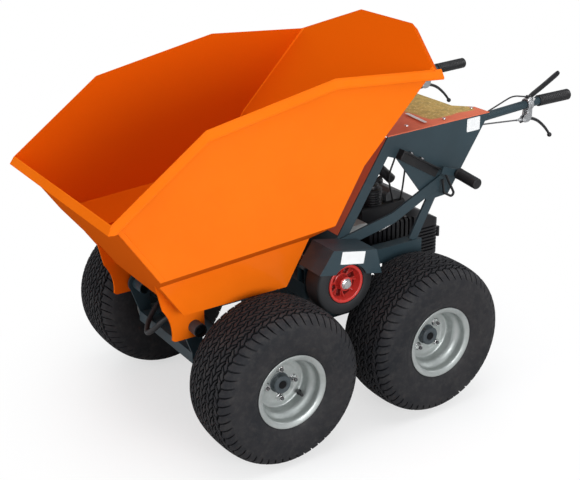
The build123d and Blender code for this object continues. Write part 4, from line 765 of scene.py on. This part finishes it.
perchLook = {
    "side": 0.262, "centre": (-0.8065, 0.2604, 0.4076), "ring": 0.0205, "bore": 0.0142, "half": 0.0115,
    "cheek": [(-0.8185, 0.392), (-0.7945, 0.392), (-0.7925, 0.372), (-0.78, 0.362), (-0.7795, 0.352),
              (-0.79, 0.3475), (-0.808, 0.349), (-0.8185, 0.362)],
    "cheekBend": 0.006, "cheekSides": (-0.0105, 0.0055), "cheekThick": 0.005, "boltSide": 0.272,
    "bolts": [(-0.7865, 0.3555, 0.0045, 0.0042, 0.0062), (-0.7985, 0.38, 0.004, 0.0038, 0.0056)],
    "barrel": [(0, 0), (0.0055, 0), (0.006, 0.0008), (0.006, 0.01), (0.0048, 0.011), (0.0048, 0.016),
               (0.0036, 0.017), (0.0034, 0.026), (0, 0.026)],
    "barrelStart": (-0.7835, 0.262, 0.3575),
}


def plateBetween(outline, yLow, yHigh):
    # an outline (forward, up) from the shaft carried from one side to the other: its rings are the
    # middle, the outline drawn in by the ease, the outline twice, and the same again backwards
    ease = min(0.0008, (yHigh - yLow) / 4)
    middle = np.broadcast_to(outline.mean(0), outline.shape)
    drawn = middle + (outline - middle) * (1 - ease / np.abs(outline - middle).max())
    loops = [(middle, yLow), (drawn, yLow), (outline, yLow + ease),
             (outline, yHigh - ease), (drawn, yHigh), (middle, yHigh)]
    points = [np.c_[shaft[0] + loop[:, 0], np.full(len(loop), y), shaft[2] + loop[:, 1]] for loop, y in loops]
    return np.stack(points), gridFaces(len(loops), len(outline), False, True)


def perch():
    # clamp collar turned about the grip's line, with a groove where its halves meet, two cheeks down
    # to the lever's pivot, and the cable stop turned about a forward line
    look = perchLook
    half, ring, bore = look["half"], look["ring"], look["bore"]
    halfRing = [(ring - 0.001, 0.001), (ring, 0.0015), (ring, half - 0.0015), (ring - 0.0015, half), (bore, half)]
    collar = [(r, -s) for r, s in reversed(halfRing)] + halfRing
    parts = [turned(collar, fromShaft(*look["centre"]), gripWay, 48, closed=True)]
    outline = softened(look["cheek"], look["cheekBend"])
    for y in look["side"] + np.array(look["cheekSides"]):
        parts.append(plateBetween(outline, y, y + look["cheekThick"]))
    for forward, up, *sizes in look["bolts"]:
        parts.append(boltHead(fromShaft(forward, look["boltSide"], up), (0, 1, 0), *sizes))
    parts.append(turned(look["barrel"], fromShaft(*look["barrelStart"]), (1, 0, 0.06), 24))
    return merged(parts)


addPiece("leverPerches", mirrored(perch()), "castAlloy", ["lever_clamps"])

topLook = {"low": (-0.806, 0.262, 0.426), "high": (-0.938, 0.262, 0.495), "side": 0.262, "flat": 0.62,
           "bend": 0.14, "bendRise": 0.0015,
           "size": [(0, 0.006), (0.12, 0.0062), (0.2, 0.0092), (0.9, 0.0098), (0.97, 0.0088), (1, 0.006)],
           "boss": [(0, -0.009), (0.009, -0.009), (0.0098, -0.008), (0.0098, 0.008), (0.009, 0.009), (0, 0.009)]}
lowEnd, highEnd = fromShaft(*topLook["low"]), fromShaft(*topLook["high"])
bend = lowEnd + (highEnd - lowEnd) * topLook["bend"] + (0, 0, topLook["bendRise"])
topPath = curveThrough([lowEnd, bend, (lowEnd + highEnd) / 2, highEnd], 40)
topBar = flatBar(topPath, topLook["size"], topLook["side"], topLook["flat"], 20)
boss = turned(topLook["boss"], lowEnd, (0, 1, 0), 32)
addPiece("upperLever", merged([topBar, boss]), "blackCoat", ["top_lever"], angle=60)
perchScrews = [boltHead(lowEnd + (0, 0.0088, 0), (0, 1, 0), 0.0045, 0.004, 0.0065),
               domeHead(fromShaft(-0.7945, 0.2755, 0.425), (0, 1, 0.5), 0.0058, 0.0042),
               domeHead(fromShaft(-0.8185, 0.2755, 0.424), (0, 1, 0.5), 0.0052, 0.004)]
addPiece("perchScrews", merged(perchScrews), "brightSteel")
print("controls dressed")

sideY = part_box("console_plates")[1][1]
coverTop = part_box("console_cover")[1][2]
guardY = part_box("roller_guards")[1][1]

labelLook = {"film": (0.0006, 40), "sink": 0.0001, "guardTilt": radians(11.2)}  # film: thickness, corner
film, sink = labelLook["film"], labelLook["sink"]
cosTilt, sinTilt = cos(labelLook["guardTilt"]), sin(labelLook["guardTilt"])
labels = [tablet(fromShaft(-0.5655, sideY - sink, 0.3805), (-1, 0, 0.022), (0, 0, 1), 0.027, 0.022, *film),
          tablet(fromShaft(-0.013, guardY - sink, 0.0885), (-cosTilt, 0, -sinTilt), (-sinTilt, 0, cosTilt),
                 0.0435, 0.02, *film)]
addPiece("blankLabels", merged(labels), "labelFilm", angle=30)

stripLook = {"place": (-0.283, 0.186), "sink": 0.0002, "turn": 0.12, "size": (0.058, 0.0065),
             "film": (0.0006, 10)}
turn = stripLook["turn"]
strip = tablet((*stripLook["place"], coverTop - stripLook["sink"]), (turn, 1, 0), (-1, turn, 0),
               *stripLook["size"], *stripLook["film"])
addPiece("foilStrip", strip, "stripFoil", angle=30)

screwSpots = [(-0.205, 0.236), (-0.502, 0.2), (-0.205, -0.236), (-0.502, -0.2), (-0.35, 0.243), (-0.35, -0.243)]
screws = [domeHead((x, y, coverTop), (0, 0, 1), 0.0062, 0.0034) for x, y in screwSpots]
addPiece("coverScrews", merged(screws), "brightSteel")

latchLook = {"spots": [(-0.3035, 0.334), (-0.347, 0.3084)], "inset": 0.0125, "way": (-0.5, 0, 0.86)}
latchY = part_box("latch_bracket")[1][1] - latchLook["inset"]
latchBolts = [boltHead(fromShaft(forward, latchY, up), latchLook["way"], 0.0062, 0.0052, 0.0088)
              for forward, up in latchLook["spots"]]
addPiece("latchBolts", merged(latchBolts), "darkSteel")
print("console dressed")

pivotX, _, pivotZ = middleOf("pivot_tubes")
pivotLook = {"ring": [(0.015, -0.01), (0.0205, -0.01), (0.0205, 0.0012), (0.019, 0.0024), (0.0165, 0.0024),
                      (0.015, 0.0012)],
             "earBolts": [(0.06, 0.1), (0.01, 0.12)]}
pivotEnd = (pivotX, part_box("pivot_tubes")[1][1], pivotZ)
pivotRing = turned(pivotLook["ring"], pivotEnd, (0, 1, 0), 48, closed=True)
addPiece("pivotRings", mirrored(pivotRing), "boreShadeBlack")
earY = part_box("skip_ears")[1][1]
earBolts = [boltHead((pivotX + forward, earY, pivotZ + up), (0, 1, 0), 0.006, 0.005, 0.0088)
            for forward, up in pivotLook["earBolts"]]
addPiece("earBolts", mirrored(merged(earBolts)), "brightSteel", body="skip")

seamLook = {"edge": [(0.844, 0.3502, 0.8085), (0.7235, 0.3463, 0.631)], "across": (-0.9, 0, 0.42),
            "section": [(0, -0.001), (0, 0.0022), (0.0138, 0.0022), (0.015, 0.0012), (0.015, -0.001)]}


def seamStrip():
    # a folded strip along the skip's front edge: each station is p + a across + b out, closed at its ends
    across, out = np.array(seamLook["across"]), np.array([0, 1, 0])
    section = np.array(seamLook["section"])
    ring = np.array(seamLook["edge"])[:, None] + section[:, :1] * across + section[:, 1:] * out
    ends = ring.mean(1, keepdims=True).repeat(len(section), 1)
    points = np.concatenate([ends[:1], ring, ends[1:]])
    return points, gridFaces(len(points), len(section), False, True)


addPiece("frontSeams", mirrored(seamStrip()), "skipPaint", body="skip", angle=30)

hoseLook = {"route": [(0.505, 0.05, 0.372), (0.56, 0.03, 0.345), (0.59, -0.005, 0.3), (0.588, -0.05, 0.276),
                      (0.56, -0.09, 0.292), (0.515, -0.11, 0.33), (0.47, -0.115, 0.352)], "radius": 0.0085}
hosePart = swept(curveThrough(hoseLook["route"], 44), hoseLook["radius"], (0, 0, 1))
addPiece("hoseLoop", hosePart, "cableSheath", angle=50)
print("skip dressed")

filterBase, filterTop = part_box("air_filter")[0][2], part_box("air_filter")[1][2]
filterX, filterY = middleOf("air_filter")[:2]
filterLook = {"radius": 0.0368, "ribs": 6, "rib": 0.0045, "cap": 0.026, "capHeight": 0.015,
              "nut": [(0, 0), (0.0085, 0), (0.0085, 0.004), (0.0065, 0.006), (0, 0.006)], "nutSink": 0.002}


def ribbedFilter():
    # a bellows wall r = R - rib (1 - |cos|^0.6), a shoulder, and a domed cap, turned about the upright
    look = filterLook
    radius, cap = look["radius"], look["cap"]
    wallTop = filterTop - filterBase - look["capHeight"]
    s = np.linspace(0, 1, look["ribs"] * 12 + 1)
    ribs = look["rib"] * (1 - np.abs(np.cos(s * look["ribs"] * pi)) ** 0.6)
    wall = np.c_[radius - ribs, 0.001 + s * (wallTop - 0.004)]
    top = np.array([(radius - 0.001, -0.002), (radius - 0.004, 0), (cap, 0.0005), (cap, 0.009),
                    (cap - 0.0015, 0.0115), (cap - 0.006, 0.013), (0.01, 0.014), (0, 0.0142)]) + (0, wallTop)
    profile = np.concatenate([[(0, 0), (radius, 0)], wall, top])
    return turned(profile, (filterX, filterY, filterBase), (0, 0, 1), 72)


addPiece("bellowsFilter", ribbedFilter(), "engineBlack", ["air_filter"], angle=45)
filterNut = turned(filterLook["nut"], (filterX, filterY, filterTop - filterLook["nutSink"]), (0, 0, 1), 32)
addPiece("filterNut", filterNut, "castAlloy")

fillerLook = {"back": 0.03, "side": 0.01, "sink": 0.006,
              "cap": [(0, 0), (0.021, 0), (0.021, 0.004), (0.0235, 0.005), (0.0235, 0.013), (0.0215, 0.0155),
                      (0, 0.0165)]}
tankX, tankY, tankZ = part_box("fuel_tank")[1]
fillerSpot = (tankX - fillerLook["back"], fillerLook["side"], tankZ - fillerLook["sink"])
addPiece("fillerCap", turned(fillerLook["cap"], fillerSpot, (0, 0, 1)), "engineBlack")

rodLook = {"route": [(-0.25, 0.15, 0.534), (-0.215, 0.16, 0.531), (-0.18, 0.17, 0.5275), (-0.15, 0.175, 0.524)],
           "radius": 0.0028}
governorRod = swept(curveThrough(rodLook["route"], 20), rodLook["radius"], (0, 1, 0), 12)
addPiece("governorRod", governorRod, "brightSteel", angle=50)

blockLook = {"boltShares": (0.12, 0.38, 0.64, 0.9), "boltSide": 0.145, "boltUp": 0.074}
blockLow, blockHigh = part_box("engine_block")
blockBolts = [boltHead((blockLow[0] + (blockHigh[0] - blockLow[0]) * share, blockLook["boltSide"],
                        blockLow[2] + blockLook["boltUp"]), (0, 0, 1), 0.0055, 0.0048, 0.008)
              for share in blockLook["boltShares"]]
addPiece("crankcaseBolts", merged(blockBolts), "darkSteel")
print("engine dressed")

studio = {
    "eye": (1.99653, 2.97555, 1.9544), "turn": -122.8045, "down": 22.5044, "roll": -0.6148, "lens": 72.574,
    # each lamp: its place, the point it faces, its two sizes and its power
    "lamps": {"keyLamp": ((0.6, 4.2, 1.5), (0, 0, 0.5), (2.4, 1.6), 108),
              "topLamp": ((0.2, 0.6, 4.4), (0, 0, 0.3), (3, 3), 60),
              "frontLamp": ((4, -0.4, 1.8), (0.1, 0, 0.5), (2.2, 1.8), 40),
              "rearLamp": ((-3.4, 1, 2.2), (-0.2, 0, 0.6), (2, 1.8), 34),
              "farLamp": ((-0.4, -3.8, 1.8), (0, 0, 0.5), (2.4, 1.6), 45)},
    "floorSize": 14, "floorDrop": 0.0005, "floorTones": ((0.97, 0.97, 0.97), (0.99, 0.99, 0.99)),
    "floorBounce": (0.55, 0.55, 0.55), "fadeFrom": 0.55, "fadeTo": 1.15, "fadeStart": 0.62,
    "ambient": (0.42, 0.43, 0.45),
}


def addCamera():
    # looks along (cos t cos d, sin t cos d, -sin d), rolled about that line
    turn, down, roll = (radians(studio[k]) for k in ("turn", "down", "roll"))
    ahead = np.array([cos(turn) * cos(down), sin(turn) * cos(down), -sin(down)])
    right = unit(np.cross(ahead, [0, 0, 1]))
    up = np.cross(right, ahead)
    table = np.eye(4)
    table[:3, 0] = cos(roll) * right + sin(roll) * up
    table[:3, 1] = -sin(roll) * right + cos(roll) * up
    table[:3, 2], table[:3, 3] = -ahead, studio["eye"]
    lens = bpy.data.cameras.new("studioCamera")
    lens.sensor_fit, lens.sensor_width = "HORIZONTAL", 36
    lens.lens, lens.clip_end = studio["lens"], 60
    camera = linked("studioCamera", lens)
    camera.matrix_world = Matrix(table.tolist())
    bpy.context.scene.camera = camera


def addLamp(name, place, aim, size, power):
    # a soft rectangular lamp whose -z axis points from its place to its aim
    data = bpy.data.lights.new(name, "AREA")
    data.shape, data.size, data.size_y = "RECTANGLE", *size
    data.energy = power
    lamp = linked(name, data)
    lamp.location = place
    lamp.rotation_euler = (Vector(aim) - Vector(place)).to_track_quat("-Z", "Y").to_euler()


def addFloor():
    # a plain pale floor that fades to white with the distance from the middle, for the camera alone
    reach = np.linspace(-studio["floorSize"], studio["floorSize"], 3)
    x, y = np.meshgrid(reach, reach, indexing="ij")
    points = np.stack([x, y, np.full_like(x, -studio["floorDrop"])], -1)
    floor = linked("studioFloor", startMesh("studioFloor", points, gridFaces(3, 3)))
    finish, tree, surface = startFinish("studioFloor")
    rays = node(tree, "LightPath").outputs["Is Camera Ray"]
    place = node(tree, "TexCoord").outputs["Object"]
    away = node(tree, "VectorMath", {0: place}, operation="LENGTH").outputs["Value"]
    fade = ramp(tree, away, studio["fadeFrom"], studio["fadeTo"], studio["fadeStart"],
                interpolation_type="SMOOTHSTEP")
    tone = mix(tree, noise(tree, 3), *studio["floorTones"])
    setInputs(tree, surface, {"Base Color": mix(tree, rays, studio["floorBounce"], tone), "Roughness": 0.95,
                              "Specular IOR Level": 0})
    glow = node(tree, "Emission", {"Color": (1, 1, 1, 1), "Strength": 1}).outputs[0]
    both = node(tree, "MixShader", {0: calc(tree, "MULTIPLY", fade, rays), 1: surface.outputs[0], 2: glow})
    tree.links.new(both.outputs[0], tree.nodes["Material Output"].inputs["Surface"])
    floor.data.materials.append(finish)


def addWorld():
    # white to the camera and through clear things, a plain soft grey light on everything else
    world = bpy.data.worlds.new("studioWorld")
    bpy.context.scene.world = world
    world.use_nodes = True
    tree = world.node_tree
    rays = node(tree, "LightPath").outputs
    seen = calc(tree, "MAXIMUM", rays["Is Camera Ray"], rays["Is Transmission Ray"])
    setInputs(tree, tree.nodes["Background"], {"Color": mix(tree, seen, studio["ambient"], (1, 1, 1)),
                                               "Strength": 1})


addCamera()
for lampName, settings in studio["lamps"].items():
    addLamp(lampName, *settings)
addFloor()
addWorld()
bpy.context.scene.view_settings.view_transform = "Standard"
print("studio set")
